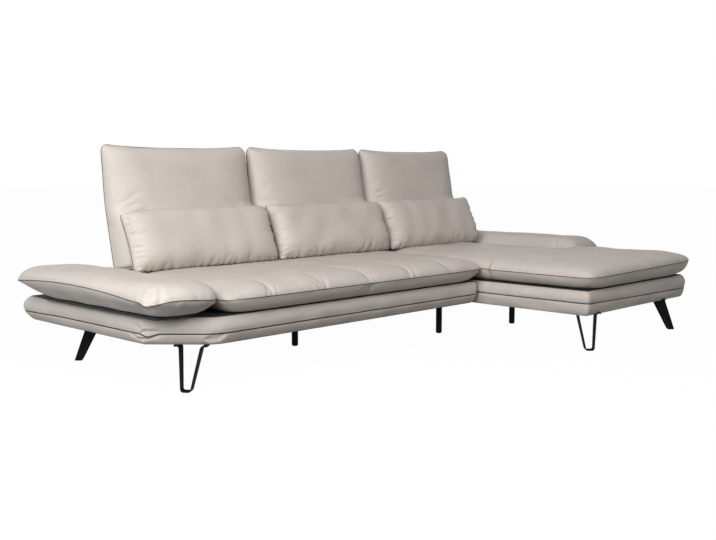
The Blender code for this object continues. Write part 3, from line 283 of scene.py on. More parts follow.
FOOT_HALF = (CREASE - BACK_BOTTOM) / 2


# Materials

def nodes_of(name):
    """A new material, its node tree and its Principled shader."""
    made = bpy.data.materials.new(name)
    made.use_nodes = True
    tree = made.node_tree
    return made, tree, tree.nodes["Principled BSDF"]


def shader_node(tree, kind, **inputs):
    """A new node with some of its inputs set."""
    made = tree.nodes.new("ShaderNode" + kind)
    for name, value in inputs.items():
        made.inputs[name].default_value = value
    return made


def on_object(tree):
    """The object's own coordinates."""
    return shader_node(tree, "TexCoord").outputs["Object"]


def noise(tree, scale, detail, stretch=(1.0, 1.0, 1.0)):
    """Noise over the object's own coordinates, in features per metre."""
    mapping = shader_node(tree, "Mapping", Scale=stretch)
    texture = shader_node(tree, "TexNoise", Scale=scale, Detail=detail)
    tree.links.new(on_object(tree), mapping.inputs["Vector"])
    tree.links.new(mapping.outputs["Vector"], texture.inputs["Vector"])
    return texture.outputs["Fac"]


def ramp(tree, source, stops):
    """A colour ramp between two stops of position and colour."""
    made = shader_node(tree, "ValToRGB")
    for element, (position, shade) in zip(made.color_ramp.elements, stops):
        element.position = position
        element.color = (*shade, 1.0)
    tree.links.new(source, made.inputs["Fac"])
    return made.outputs["Color"]


def bump(tree, height, strength, distance, under=None):
    """A bump node over an optional lower one."""
    made = shader_node(tree, "Bump", Strength=strength, Distance=distance)
    tree.links.new(height, made.inputs["Height"])
    if under:
        tree.links.new(under, made.inputs["Normal"])
    return made.outputs["Normal"]


def grey(level):
    """A grey colour."""
    return (level, level, level)


def leather(name, light, dark, rough=(0.46, 0.58), grain=0.22):
    """Smooth leather: cloudy colour, uneven sheen, pebble grain and fine stretch creases."""
    made, tree, shader = nodes_of(name)
    colour = ramp(tree, noise(tree, 5.0, 4.0), [(0.30, dark), (0.70, light)])
    tree.links.new(colour, shader.inputs["Base Color"])
    sheen = ramp(tree, noise(tree, 22.0, 5.0), [(0.25, grey(rough[0])), (0.75, grey(rough[1]))])
    tree.links.new(sheen, shader.inputs["Roughness"])
    cells = shader_node(tree, "TexVoronoi", Scale=520.0)
    cells.feature = "DISTANCE_TO_EDGE"
    tree.links.new(on_object(tree), cells.inputs["Vector"])
    pebble = ramp(tree, cells.outputs["Distance"], [(0.0, grey(0.0)), (0.22, grey(1.0))])
    creases = bump(tree, noise(tree, 60.0, 6.0, (1.0, 1.0, 2.2)), 0.10, 0.004)
    tree.links.new(bump(tree, pebble, grain, 0.0005, creases), shader.inputs["Normal"])
    shader.inputs["Specular IOR Level"].default_value = 0.20
    return made


def metal(name, colour, rough, metallic, scratch):
    """Coated or plated steel with a fine uneven surface."""
    made, tree, shader = nodes_of(name)
    shader.inputs["Base Color"].default_value = (*colour, 1.0)
    shader.inputs["Metallic"].default_value = metallic
    shader.inputs["Specular IOR Level"].default_value = 0.1
    level = noise(tree, 240.0, 4.0, scratch)
    finish = ramp(tree, level, [(0.2, grey(rough - 0.07)), (0.8, grey(rough + 0.07))])
    tree.links.new(finish, shader.inputs["Roughness"])
    tree.links.new(bump(tree, level, 0.12, 0.0004), shader.inputs["Normal"])
    return made


def plywood(name):
    """Bare birch plywood with its grain along X."""
    made, tree, shader = nodes_of(name)
    grain = noise(tree, 30.0, 8.0, (0.15, 1.0, 3.0))
    colour = ramp(tree, grain, [(0.3, (0.50, 0.35, 0.20)), (0.7, (0.68, 0.52, 0.33))])
    tree.links.new(colour, shader.inputs["Base Color"])
    tree.links.new(bump(tree, grain, 0.25, 0.001), shader.inputs["Normal"])
    shader.inputs["Roughness"].default_value = 0.62
    return made


def cloth(name, dark, light, threads):
    """Plain woven or bonded cloth, with its threads in the bump."""
    made, tree, shader = nodes_of(name)
    colour = ramp(tree, noise(tree, 90.0, 5.0), [(0.3, dark), (0.7, light)])
    tree.links.new(colour, shader.inputs["Base Color"])
    coordinates = on_object(tree)
    under = None
    for direction in ("X", "Y"):
        wave = shader_node(tree, "TexWave", Scale=threads)
        wave.bands_direction = direction
        tree.links.new(coordinates, wave.inputs["Vector"])
        under = bump(tree, wave.outputs["Fac"], 0.3, 0.0006, under)
    tree.links.new(under, shader.inputs["Normal"])
    shader.inputs["Roughness"].default_value = 0.88
    return made


LEATHER = leather("greige_leather", (0.580, 0.531, 0.488), (0.525, 0.476, 0.434))
# Near-black welt cords: dark piping, and also painted shade along the seams, the base's groove and the
# lumbars' ends
WELT_AND_SEAM_SHADE = leather("welt_and_painted_seam_shade", (0.045, 0.034, 0.027), (0.030, 0.023, 0.018), (0.6, 0.7), 0.1)
SEAM = leather("seam_leather", (0.30, 0.265, 0.235), (0.24, 0.21, 0.185), (0.45, 0.6), 0.1)
BLACK_STEEL = metal("black_powder_coat", (0.0025, 0.0025, 0.0025), 0.74, 0.0, (1.0, 1.0, 1.0))
ZINC = metal("zinc_plate", (0.56, 0.56, 0.54), 0.34, 1.0, (0.2, 1.0, 1.0))
PLYWOOD = plywood("birch_plywood")
# Black cloth for the frame's cloth parts, also put on the base's deck as painted shade under the pads
# and cushions
BLACK_CLOTH_AND_PAINTED_SHADE = cloth("black_cloth_and_painted_shade", (0.010, 0.010, 0.010), (0.022, 0.022, 0.022), 700.0)
WEBBING = cloth("elastic_webbing", (0.10, 0.09, 0.085), (0.17, 0.16, 0.15), 320.0)


# Mesh helpers

def placed(name, data):
    """An object in the scene, with its data."""
    made = bpy.data.objects.new(name, data)
    bpy.context.scene.collection.objects.link(made)
    return made


def mesh_piece(name, points, faces, skin):
    """An object from points and faces, with its normals facing out."""
    mesh = bpy.data.meshes.new(name)
    mesh.from_pydata([tuple(point) for point in points], [], [tuple(face) for face in faces])
    bm = bmesh.new()
    bm.from_mesh(mesh)
    bmesh.ops.recalc_face_normals(bm, faces=bm.faces)
    bm.to_mesh(mesh)
    bm.free()
    mesh.materials.append(skin)
    mesh.shade_smooth()
    return placed(name, mesh)


def quads(index):
    """Faces between the neighbours of a grid of point numbers."""
    corners = (index[:-1, :-1], index[:-1, 1:], index[1:, 1:], index[1:, :-1])
    return np.stack([corner.ravel() for corner in corners], axis=-1)


def stations(half, spacing, edge, cells):
    """Positions from -1 to 1: evenly spaced, then ever closer towards both ends."""
    count = max(2, round(half * (1 - edge) / spacing))
    even = np.linspace(0.0, 1 - edge, count + 1)
    share = np.arange(1, cells + 1) / cells
    close = 1 - edge * (1 - share) ** 3.0
    right = np.concatenate([even, close])
    return np.concatenate([-right[:0:-1], right])


def grid_of(kind, half_u, half_v):
    """The columns and rows of a cover's grid."""
    columns, rows = GRIDS[kind]
    return stations(half_u, *columns), stations(half_v, *rows)


def facing(points):
    """Unit normals of a grid of points."""
    along = np.gradient(points, axis=1)
    across = np.gradient(points, axis=0)
    normal = np.cross(along, across)
    length = np.linalg.norm(normal, axis=-1, keepdims=True)
    return normal / np.maximum(length, 1e-12)


def sheet(place, columns, rows, relief=None):
    """A grid of points, pushed out along its normals by its relief."""
    u, v = np.meshgrid(columns, rows)
    points = np.stack(place(u, v), axis=-1)
    if relief is not None:
        points = points + facing(points) * relief(u, v, *np.moveaxis(points, -1, 0))[..., None]
    return points


def quilt(name, front, back):
    """Two grids of points sewn together round their edge."""
    rows, columns = front.shape[:2]
    front_index = np.arange(rows * columns).reshape(rows, columns)
    back_index = front_index.copy()
    inner = np.arange((rows - 2) * (columns - 2)).reshape(rows - 2, columns - 2)
    back_index[1:-1, 1:-1] = rows * columns + inner
    points = np.concatenate([front.reshape(-1, 3), back[1:-1, 1:-1].reshape(-1, 3)])
    faces = np.concatenate([quads(front_index), quads(back_index)[:, ::-1]])
    return mesh_piece(name, points, faces, LEATHER)


def edge_loop(grid):
    """The points round the edge of a grid, in order."""
    return np.concatenate([grid[0, :-1], grid[:-1, -1], grid[-1, :0:-1], grid[:0:-1, 0]])


def tube(name, path, closed=True, radius=WELT_RADIUS, skin=WELT_AND_SEAM_SHADE, sides=8):
    """A thin round cord along a path of points."""
    path = np.asarray(path)
    path = path[np.linalg.norm(path - np.roll(path, 1, axis=0), axis=1) > radius * 0.5]
    if closed:
        ahead = np.roll(path, -1, axis=0) - np.roll(path, 1, axis=0)
    else:
        ahead = np.gradient(path, axis=0)
    ahead /= np.linalg.norm(ahead, axis=1, keepdims=True)
    upright = np.tile(CORD_UPRIGHT, (len(path), 1))
    side = np.cross(ahead, upright)
    side /= np.linalg.norm(side, axis=1, keepdims=True)
    lift = np.cross(side, ahead)
    turns = np.arange(sides) * 2 * pi / sides
    ring = side[:, None] * np.cos(turns)[:, None] + lift[:, None] * np.sin(turns)[:, None]
    points = path[:, None] + radius * ring
    index = np.arange(len(path) * sides).reshape(len(path), sides)
    index = np.concatenate([index, index[:, :1]], axis=1)
    if closed:
        index = np.concatenate([index, index[:1]], axis=0)
    faces = list(quads(index))
    if not closed:
        faces += [index[0, :-1], index[-1, -2::-1]]
    return mesh_piece(name, points.reshape(-1, 3), faces, skin)


def outline(corners, inset):
    """Points round a convex outline with rounded corners, moved in by an inset."""
    inset = float(inset)
    places = [Vector(corner[:2]) for corner in corners]
    following = places[1:] + places[:1]
    arcs = []
    for index, (here, there) in enumerate(zip(places, following)):
        before = (here - places[index - 1]).normalized()
        after = (there - here).normalized()
        start = atan2(before.y, before.x) - pi / 2
        turn = (atan2(after.y, after.x) - atan2(before.y, before.x)) % (2 * pi)
        radius = max(corners[index][2] - inset, LEAST_RADIUS)
        centre = here + (after - before).normalized() * ((inset + radius) / cos(turn / 2))
        angles = [start + turn * step / ARC_STEPS for step in range(ARC_STEPS + 1)]
        arcs.append([centre + radius * Vector((cos(angle), sin(angle))) for angle in angles])
    points = []
    for index, (here, there) in enumerate(zip(places, following)):
        cells = max(1, round((there - here).length / OUTLINE_SPACING))
        start, end = arcs[index][-1], arcs[(index + 1) % len(arcs)][0]
        points += arcs[index] + [start.lerp(end, cell / cells) for cell in range(1, cells)]
    return np.array([tuple(point) for point in points])


# Shape helpers

def crown(u, v, u_power, v_power, soft=0.5):
    """Height of a stuffed panel, 1 in the middle and 0 at its edges."""
    across = np.maximum(1 - np.abs(u) ** u_power, 0)
    along = np.maximum(1 - np.abs(v) ** v_power, 0)
    return (across * along) ** soft


def mix(start, end, share):
    """A value part of the way from start to end."""
    return start + (end - start) * share


def ease(value, low, high):
    """0 below low, 1 above high, and a smooth rise between them."""
    share = np.clip((value - low) / (high - low), 0.0, 1.0)
    return share * share * (3 - 2 * share)


def bell(value, width):
    """1 where a value is 0, fading to both sides within about the given width."""
    return np.exp(-((value / width) ** 2))


def swell(x, y, size, seed):
    """Gentle unevenness between -1 and 1, with features of about the given size."""
    draw = np.random.default_rng(seed)
    total = np.zeros_like(x)
    for _ in range(7):
        angle = draw.uniform(0, pi)
        wave = draw.uniform(0.7, 1.5) * pi / size
        total += np.sin(wave * (x * cos(angle) + y * sin(angle)) + draw.uniform(0, 2 * pi))
    return total / 4.5


def gathers(kind, along, away, low, high, seed):
    """Folds that start at a seam, where away is 0, and widen and fade away from it."""
    count, depth, reach, width, lean = GATHERS[kind]
    draw = np.random.default_rng(seed)
    total = np.zeros_like(along)
    pitch = (high - low) / count
    away = np.maximum(away, 0.0)
    for index in range(count):
        place = low + (index + draw.uniform(0.1, 0.9)) * pitch
        length = reach * draw.uniform(0.35, 1.25)
        spread = width * draw.uniform(0.7, 1.4) * (1 + 2.2 * away / length)
        slope = draw.normal(0.0, lean)
        offset = along - place - slope * away
        fade = np.exp(-((away / length) ** 1.5))
        total += depth * draw.uniform(0.35, 1.0) * bell(offset, spread) * fade
    return -total


def crease(x, y, start, end, width, depth):
    """A soft valley along a line between two points, tapering at both ends."""
    start = np.array(start)
    run = np.array(end) - start
    length = np.hypot(*run)
    ahead = ((x - start[0]) * run[0] + (y - start[1]) * run[1]) / length
    aside = ((x - start[0]) * -run[1] + (y - start[1]) * run[0]) / length
    share = np.clip(ahead / length, 0, 1)
    beyond = ahead - share * length
    taper = np.sin(pi * np.clip(share, 0.02, 0.98)) ** 0.6
    return -depth * taper * np.exp(-((aside / width) ** 2) - (beyond / width) ** 2)


def pinch(away):
    """How far leather stands proud beside its seam, with a fine topstitched line along it."""
    away = np.maximum(away, 0.0)
    proud = PINCH_DEPTH * (1 - np.exp(-((away / PINCH_REACH) ** 1.2)))
    return proud - TOPSTITCH_DEPTH * bell(away - TOPSTITCH_PLACE, TOPSTITCH_WIDTH)


def sampled(grid, u, v):
    """Values of an even grid over -1 to 1, read between its points."""
    rows, columns = grid.shape[:2]
    x = np.clip((u + 1) / 2 * (columns - 1), 0, columns - 1.001)
    y = np.clip((v + 1) / 2 * (rows - 1), 0, rows - 1.001)
    left = x.astype(int)
    low = y.astype(int)
    along = (x - left)[..., None]
    up = (y - low)[..., None]
    below = mix(grid[low, left], grid[low, left + 1], along)
    above = mix(grid[low + 1, left], grid[low + 1, left + 1], along)
    return mix(below, above, up)


def stuffed(front, back, size, kind, seams=None):
    """How far the two panels of a cover move when sewn together and stuffed.

    Gives two even grids of movements. The seams, and any sewn channels, stay where they are.
    """
    spacing, pressure, hold, limit = STUFFING[kind]
    columns = np.linspace(-1, 1, round(size[0] / spacing) + 1)
    rows = np.linspace(-1, 1, round(size[1] / spacing) + 1)
    shape = (len(rows), len(columns), 3)
    piece = quilt("stuffing", sheet(front, columns, rows), sheet(back, columns, rows))
    inner = (shape[0] - 2, shape[1] - 2)
    weights = np.full(shape[:2], hold)
    if seams is not None:
        weights = np.maximum(weights, seams(*np.meshgrid(columns, rows)))
    weights[[0, -1]] = 1.0
    weights[:, [0, -1]] = 1.0
    weights = np.concatenate([weights.ravel(), np.full(inner[0] * inner[1], hold)])
    pins = piece.vertex_groups.new(name=CLOTH["vertex_group_mass"])
    for index, weight in enumerate(weights):
        pins.add([index], float(weight), "REPLACE")
    before = coordinates(piece.data)
    cloth = piece.modifiers.new("cloth", "CLOTH")
    for setting, value in CLOTH.items():
        setattr(cloth.settings, setting, value)
    cloth.settings.uniform_pressure_force = pressure
    cloth.settings.effector_weights.gravity = 0.0
    cloth.collision_settings.use_collision = False
    cloth.point_cache.frame_end = CLOTH_FRAMES
    for step in range(1, CLOTH_FRAMES + 1):
        bpy.context.scene.frame_set(step)
    bake(piece)
    moved = coordinates(piece.data) - before
    bpy.context.scene.frame_set(1)
    bpy.data.objects.remove(piece, do_unlink=True)
    length = np.linalg.norm(moved, axis=1, keepdims=True)
    moved *= limit * np.tanh(length / limit) / np.maximum(length, 1e-9)
    split = shape[0] * shape[1]
    under = np.zeros(shape)
    under[1:-1, 1:-1] = moved[split:].reshape(*inner, 3)
    return moved[:split].reshape(shape), under


def coordinates(mesh):
    """The points of a mesh, as an array."""
    flat = np.empty(len(mesh.vertices) * 3)
    mesh.vertices.foreach_get("co", flat)
    return flat.reshape(-1, 3)


def cushion(node, u, v, forms, reliefs, moves, rest):
    """A cushion's cover and the welt round its seam, from two forms, their reliefs and their moves.

    Below, the moves fade out where the cushion rests on what carries it.
    """
    both = np.meshgrid(u, v)
    upper = sheet(forms[0], u, v, reliefs[0]) + sampled(moves[0], *both)
    lower = sheet(forms[1], u, v, reliefs[1])
    lower += sampled(moves[1], *both) * ease(lower[..., 2:], rest + REST_EDGE, rest + REST_END)
    cord = edge_loop(sheet(forms[0], u, v))
    return quilt(node + "_cover", upper, lower), tube(node + "_welt", cord)


def finished(piece, body, nodes=(), extra=()):
    """Put a piece, and the cords sewn to it, on its body."""
    for item in (piece, *extra):
        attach(item, body)
    if nodes:
        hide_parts(*nodes)


def span(node):
    """Middle and half width of a node."""
    low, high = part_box(node)
    return (low.x + high.x) / 2, (high.x - low.x) / 2


# Bases

MAIN_CORNERS = [
    (MAIN_LEFT, MAIN_FRONT + CORNER_CUT_SIDE, CUT_SIDE_RADIUS),
    (MAIN_LEFT + CORNER_CUT_FRONT, MAIN_FRONT, CUT_FRONT_RADIUS),
    (MAIN_RIGHT, MAIN_FRONT, BASE_CORNER_RADIUS),
    (MAIN_RIGHT, REAR, BASE_CORNER_RADIUS),
    (MAIN_LEFT, REAR, BASE_CORNER_RADIUS),
]
CHAISE_CORNERS = [
    (CHAISE_LEFT, CHAISE_FRONT, BASE_CORNER_RADIUS),
    (CHAISE_RIGHT, CHAISE_FRONT, BASE_CORNER_RADIUS),
    (CHAISE_RIGHT, REAR, BASE_CORNER_RADIUS),
    (CHAISE_LEFT, REAR, BASE_CORNER_RADIUS),
]
# Folds where the slanted corner begins: two ends along it and above the groove, width and depth
KNOT_FOLDS = [
    ((-0.010, 0.002), (0.035, 0.014), 0.0065, 0.0085),
    ((0.035, 0.014), (0.080, 0.009), 0.0065, 0.0075),
    ((-0.061, -0.003), (-0.018, -0.022), 0.0070, 0.0085),
    ((-0.018, -0.022), (0.033, -0.021), 0.0070, 0.0090),
    ((0.033, -0.021), (0.085, -0.006), 0.0070, 0.0080),
    ((-0.030, 0.030), (0.010, 0.020), 0.0080, 0.0060),
]
# Humps beside those folds: place along it, length, height above the groove and width
KNOT_HUMPS = [(0.040, 0.030, 0.024, 0.009), (0.005, 0.035, -0.011, 0.006)]
KNOT_HUMP = 0.0045
# Where the folds on the main unit's front begin, from its slanted corner
FRONT_FOLDS = (-0.004, 0.011, 0.025, 0.040)
REAR_BULGE = 0.022
# How far the lower roll hangs and lies in at its hem, and where the hem ends
HEM_DROP = {"main": 0.004, "chaise": 0.013}
LOWER_TUCK = {"main": 0.013, "chaise": 0.003}
HEM_EDGE = 0.031
# Inset beyond which the deck is painted black, as shade under the pads and cushions
PAINTED_SHADE_INSET = 0.0205
BASE_WELT_RADIUS = 0.0026
BASE_WELT_PROUD = 0.0016
LID_RISE = 0.0018
LEAST_RADIUS = 0.002
OUTLINE_SPACING = 0.007
ARC_STEPS = 10
# Inset and height above the base's bottom edge, from the deck's black painted shade up and over the
# roll
BASE_PROFILE = [
    (0.060, 0.0015), (0.046, 0.0010), (0.040, 0.0010), (0.025, 0.0010), (0.0175, 0.0045),
    (0.0110, 0.0130), (0.0062, 0.0230), (0.0034, 0.0330), (0.0030, 0.0400), (0.0046, 0.0440),
    (0.0066, 0.0460), (0.0046, 0.0480), (0.0022, 0.0530), (0.0006, 0.0630), (0.0004, 0.0750),
    (0.0026, 0.0880), (0.0076, 0.1000), (0.0150, 0.1090), (0.0250, 0.1150), (0.0400, 0.1175),
    (0.0700, 0.1178),
]
# The row of the profile at the bottom of the groove, how far the groove's shift reaches,
# and the inset where the border's unevenness has faded, over what length
GROOVE_STEP = 10
GROOVE_REACH = 0.04
FADE_END = 0.03
FADE_LENGTH = 0.012
BETWEEN_UNITS = (MAIN_RIGHT + CHAISE_LEFT) / 2
PROFILE_CELLS = 4


def smooth_curve(points, cells):
    """A Catmull-Rom curve through points, with its cells between each two of them."""
    points = np.array(points)
    padded = np.concatenate([points[:1] * 2 - points[1:2], points, points[-1:] * 2 - points[-2:-1]])
    made = []
    for index in range(len(points) - 1):
        a, b, c, d = padded[index:index + 4]
        for step in range(cells):
            t = step / cells
            made.append(0.5 * (2 * b + (c - a) * t + (2 * a - 5 * b + 4 * c - d) * t ** 2
                               + (3 * b - a - 3 * c + d) * t ** 3))
    made.append(points[-1])
    return np.array(made)


def groove_shift(x, y):
    """The groove sinks along the front of the chaise, and wavers a little elsewhere."""
    fall = 0.006 - 0.013 * (x - CHAISE_LEFT) / (CHAISE_RIGHT - CHAISE_LEFT)
    waver = 0.0012 * swell(x, y, 0.5, 11)
    corner = np.hypot(x - MAIN_LEFT - 0.024, y - MAIN_FRONT - CORNER_CUT_SIDE + 0.026)
    dip = 0.0120 * bell(corner, 0.026)
    return np.where(x > BETWEEN_UNITS, np.maximum(fall, -0.007), 0.0) + waver - dip


def base_relief(x, y, z, above_groove, seed):
    """Unevenness of the base's border: soft waves, and the folds at its slanted corner."""
    relief = 0.0026 * swell(x + y, z * 2.0, 0.10, seed)
    run = np.array((CORNER_CUT_FRONT, -CORNER_CUT_SIDE))
    run /= np.hypot(*run)
    along = (x - MAIN_LEFT) * run[0] + (y - MAIN_FRONT - CORNER_CUT_SIDE) * run[1]
    slanted = ease(y, MAIN_FRONT - 0.02, MAIN_FRONT + 0.03) * (x < MAIN_LEFT + CORNER_CUT_FRONT)
    knot = np.zeros_like(relief)
    for (start, low), (end, high), width, depth in KNOT_FOLDS:
        knot += crease(along, z - GROOVE, (start, low), (end, high), width, depth)
    for place, length, rise, width in KNOT_HUMPS:
        hump = ((along - place) / length) ** 2
        knot += KNOT_HUMP * np.exp(-hump - ((z - GROOVE - rise) / width) ** 2)
    relief += slanted * knot
    relief -= TOPSTITCH_DEPTH * bell(z - GROOVE - TOPSTITCH_PLACE, 1.4 * TOPSTITCH_WIDTH)
    rear_end = np.exp(-(((y - REAR + 0.03) / 0.16) ** 2) - ((z - GROOVE - 0.015) / 0.05) ** 2)
    relief += REAR_BULGE * ease(MAIN_LEFT + 0.10 - x, 0.0, 0.09) * rear_end
    for offset in FRONT_FOLDS:
        start = (MAIN_LEFT + CORNER_CUT_FRONT + offset, GROOVE + 0.002)
        end = (start[0] - 0.034, GROOVE - 0.036)
        relief += (y < MAIN_FRONT + 0.05) * crease(x, z, start, end, 0.0062, 0.0090)
    away = np.full_like(x, abs(above_groove))
    kind = "base_upper" if above_groove > 0 else "base_lower"
    low, high = CHAISE_LEFT + CHAISE_FRONT, CHAISE_RIGHT + REAR
    tucks = gathers(kind, x + y, away, low, high, seed + 40)
    relief += (x > BETWEEN_UNITS) * tucks * ease(away, 0.0, 0.006)
    return relief


def base_piece(unit, corners, seed):
    """The border of a base: two rolls with a groove between them, closed over its deck."""
    name = "base_" + unit
    profile = smooth_curve(BASE_PROFILE, PROFILE_CELLS)
    base_ring = outline(corners, 0.0)
    middle = base_ring.mean(axis=0)
    out = base_ring - outline(corners, 0.01)
    out /= np.linalg.norm(out, axis=1, keepdims=True)
    levels = []
    for inset, rise in profile:
        below = max(0.0, 1 - rise / GROOVE_HEIGHT) * (inset < HEM_EDGE)
        plan = outline(corners, max(inset, 0.0) + LOWER_TUCK[unit] * below)
        height = np.full(len(plan), BASE_BOTTOM + rise - HEM_DROP[unit] * below)
        share = np.clip(1 - abs(rise - GROOVE_HEIGHT) / GROOVE_REACH, 0, 1)
        height += share * groove_shift(base_ring[:, 0], base_ring[:, 1])
        bulge = base_relief(plan[:, 0], plan[:, 1], height, rise - GROOVE_HEIGHT, seed)
        fade = min(1.0, max(0.0, (FADE_END - inset) / FADE_LENGTH))
        plan = plan + out * (bulge * fade)[:, None]
        levels.append(np.column_stack([plan, height]))
    grid = np.array(levels)
    rows, columns = grid.shape[:2]
    index = np.arange(rows * columns).reshape(rows, columns)
    index = np.concatenate([index, index[:, :1]], axis=1)
    lid_number = rows * columns
    points = [*grid.reshape(-1, 3), (*middle, BASE_TOP + LID_RISE)]
    last = index[-1]
    lid = [(last[step], last[step + 1], lid_number) for step in range(columns)]
    body = mesh_piece(name, points, list(quads(index)) + lid, LEATHER)
    # The deck beyond the inset is painted black: painted shade in the gap under the pads and cushions
    body.data.materials.append(BLACK_CLOTH_AND_PAINTED_SHADE)
    painted_shade_rows = sum(1 for inset, rise in profile if inset > PAINTED_SHADE_INSET and rise > GROOVE_HEIGHT)
    for face in body.data.polygons:
        if face.index >= (rows - 1 - painted_shade_rows) * columns:
            face.material_index = 1
    groove = grid[GROOVE_STEP * PROFILE_CELLS]
    groove = groove + np.column_stack([out * BASE_WELT_PROUD, np.zeros(columns)])
    cord = tube(name + "_welt", groove, radius=BASE_WELT_RADIUS)
    finished(body, "root", ["base_cover_" + unit], extra=[cord])


def deck_piece(name, left, right):
    """The raised rear deck that carries the rails, with rounded edges and a sewn border."""
    front = SEAT_REAR + DECK_MARGIN
    rear = REAR - DECK_MARGIN
    half_x = (right - left) / 2
    half_y = (rear - front) / 2
    low = BASE_TOP - DECK_SINK

    def top(u, v):
        x = (left + right) / 2 + half_x * u
        y = (front + rear) / 2 + half_y * v
        return x, y, mix(low, REAR_DECK_TOP, crown(u, v, 60, 24))

    def bottom(u, v):
        return *top(u, v)[:2], np.full_like(u, low)

    u, v = grid_of("deck", half_x, half_y)
    finished(quilt(name, sheet(top, u, v), sheet(bottom, u, v)), "root")


# Seat cushions

def from_channel(x):
    """Distance to the nearest sewn channel."""
    return np.abs((x - MIDDLE_SEAM + CHANNEL_PITCH / 2) % CHANNEL_PITCH - CHANNEL_PITCH / 2)


def channels(x, low, high):
    """Sewn channels either side of a deeper middle seam, between softly raised lobes."""
    nearest = from_channel(x)
    strength = np.where(np.abs(x - MIDDLE_SEAM) < CHANNEL_PITCH / 2, 1.8, 1.0)
    inside = (x > low + 0.1) & (x < high - 0.1)
    line = CHANNEL_DEPTH * np.exp(-((nearest / CHANNEL_WIDTH) ** 1.1))
    line = line + VALLEY_DEPTH * bell(nearest, VALLEY_WIDTH)
    return -line * strength * inside


def seat_piece():
    """The two-place seat cushion."""
    low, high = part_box("seat_cushion")
    left, right, front = low.x, high.x, low.y
    middle = (left + right) / 2
    half = (right - left) / 2

    def plan(u, v):
        x = middle + half * u * (1 - 0.014 * np.abs(v) ** 10)
        start = front + 0.020 * np.abs(u) ** 12
        y = mix(start, SEAT_REAR, (v + 1) / 2)
        lobe = bell(y + 0.235, 0.045) * np.clip(-u, 0, 1) ** 8
        return x - 0.016 * lobe, y

    def top(u, v):
        x, y = plan(u, v)
        rise = np.where(v < 0, crown(u, v, 20, 8, 0.56), crown(u, v, 20, 30))
        return x, y, mix(SEAT_SEAM, SEAT_TOP, rise)

    def top_relief(u, v, x, y, z):
        from_front = np.maximum(y - front, 0)
        from_edge = np.minimum(from_front, half * (1 - np.abs(u)))
        fading = 1 - 0.8 * ease(from_front, 0.12, 0.42)
        relief = pinch(from_edge) + channels(x, left, right) * ease(from_front, 0.0, 0.02) * fading
        relief += 0.0036 * swell(x, y, 0.13, 3) * ease(from_edge, 0, 0.06)
        for index in range(-2, 3):
            place = MIDDLE_SEAM + index * CHANNEL_PITCH
            ends = (place - 0.035, place + 0.035)
            relief += gathers("seat_channel", x, from_front, *ends, 50 + index)
        relief += gathers("seat_front", x, from_front, left + 0.05, right - 0.03, 47)
        relief += gathers("seat_end", x, from_front, right - 0.14, right - 0.02, 48)
        return relief

    def bottom(u, v):
        x, y = plan(u, v)
        fall = np.minimum(1.0, 1.06 * crown(u, v, 24, 14, 0.70))
        return x, y, mix(SEAT_SEAM, low.z, fall)

    def bottom_relief(u, v, x, y, z):
        below = np.maximum(SEAT_SEAM - z, 0)
        tucks = gathers("seat_middle", x, below, MIDDLE_SEAM - 0.03, MIDDLE_SEAM + 0.03, 61)
        tucks += gathers("seat_below", x, below, left + 0.05, right - 0.05, 62)
        tucks += 0.0016 * swell(x, z * 3, 0.12, 63)
        return -tucks * ease(below, 0, 0.012) * ease(z, low.z, low.z + 0.008) * (v < 0)

    def sewn(u, v):
        return 1.0 * (from_channel(plan(u, v)[0]) < CHANNEL_SEWN)

    u, v = grid_of("seat", half, (SEAT_REAR - front) / 2)
    forms = (top, bottom)
    moves = stuffed(*forms, (2 * half, SEAT_REAR - front), "seat", sewn)
    piece, cord = cushion("seat_cushion", u, v, forms, (top_relief, bottom_relief), moves, low.z)
    finished(piece, "root", ["seat_cushion"], [cord])


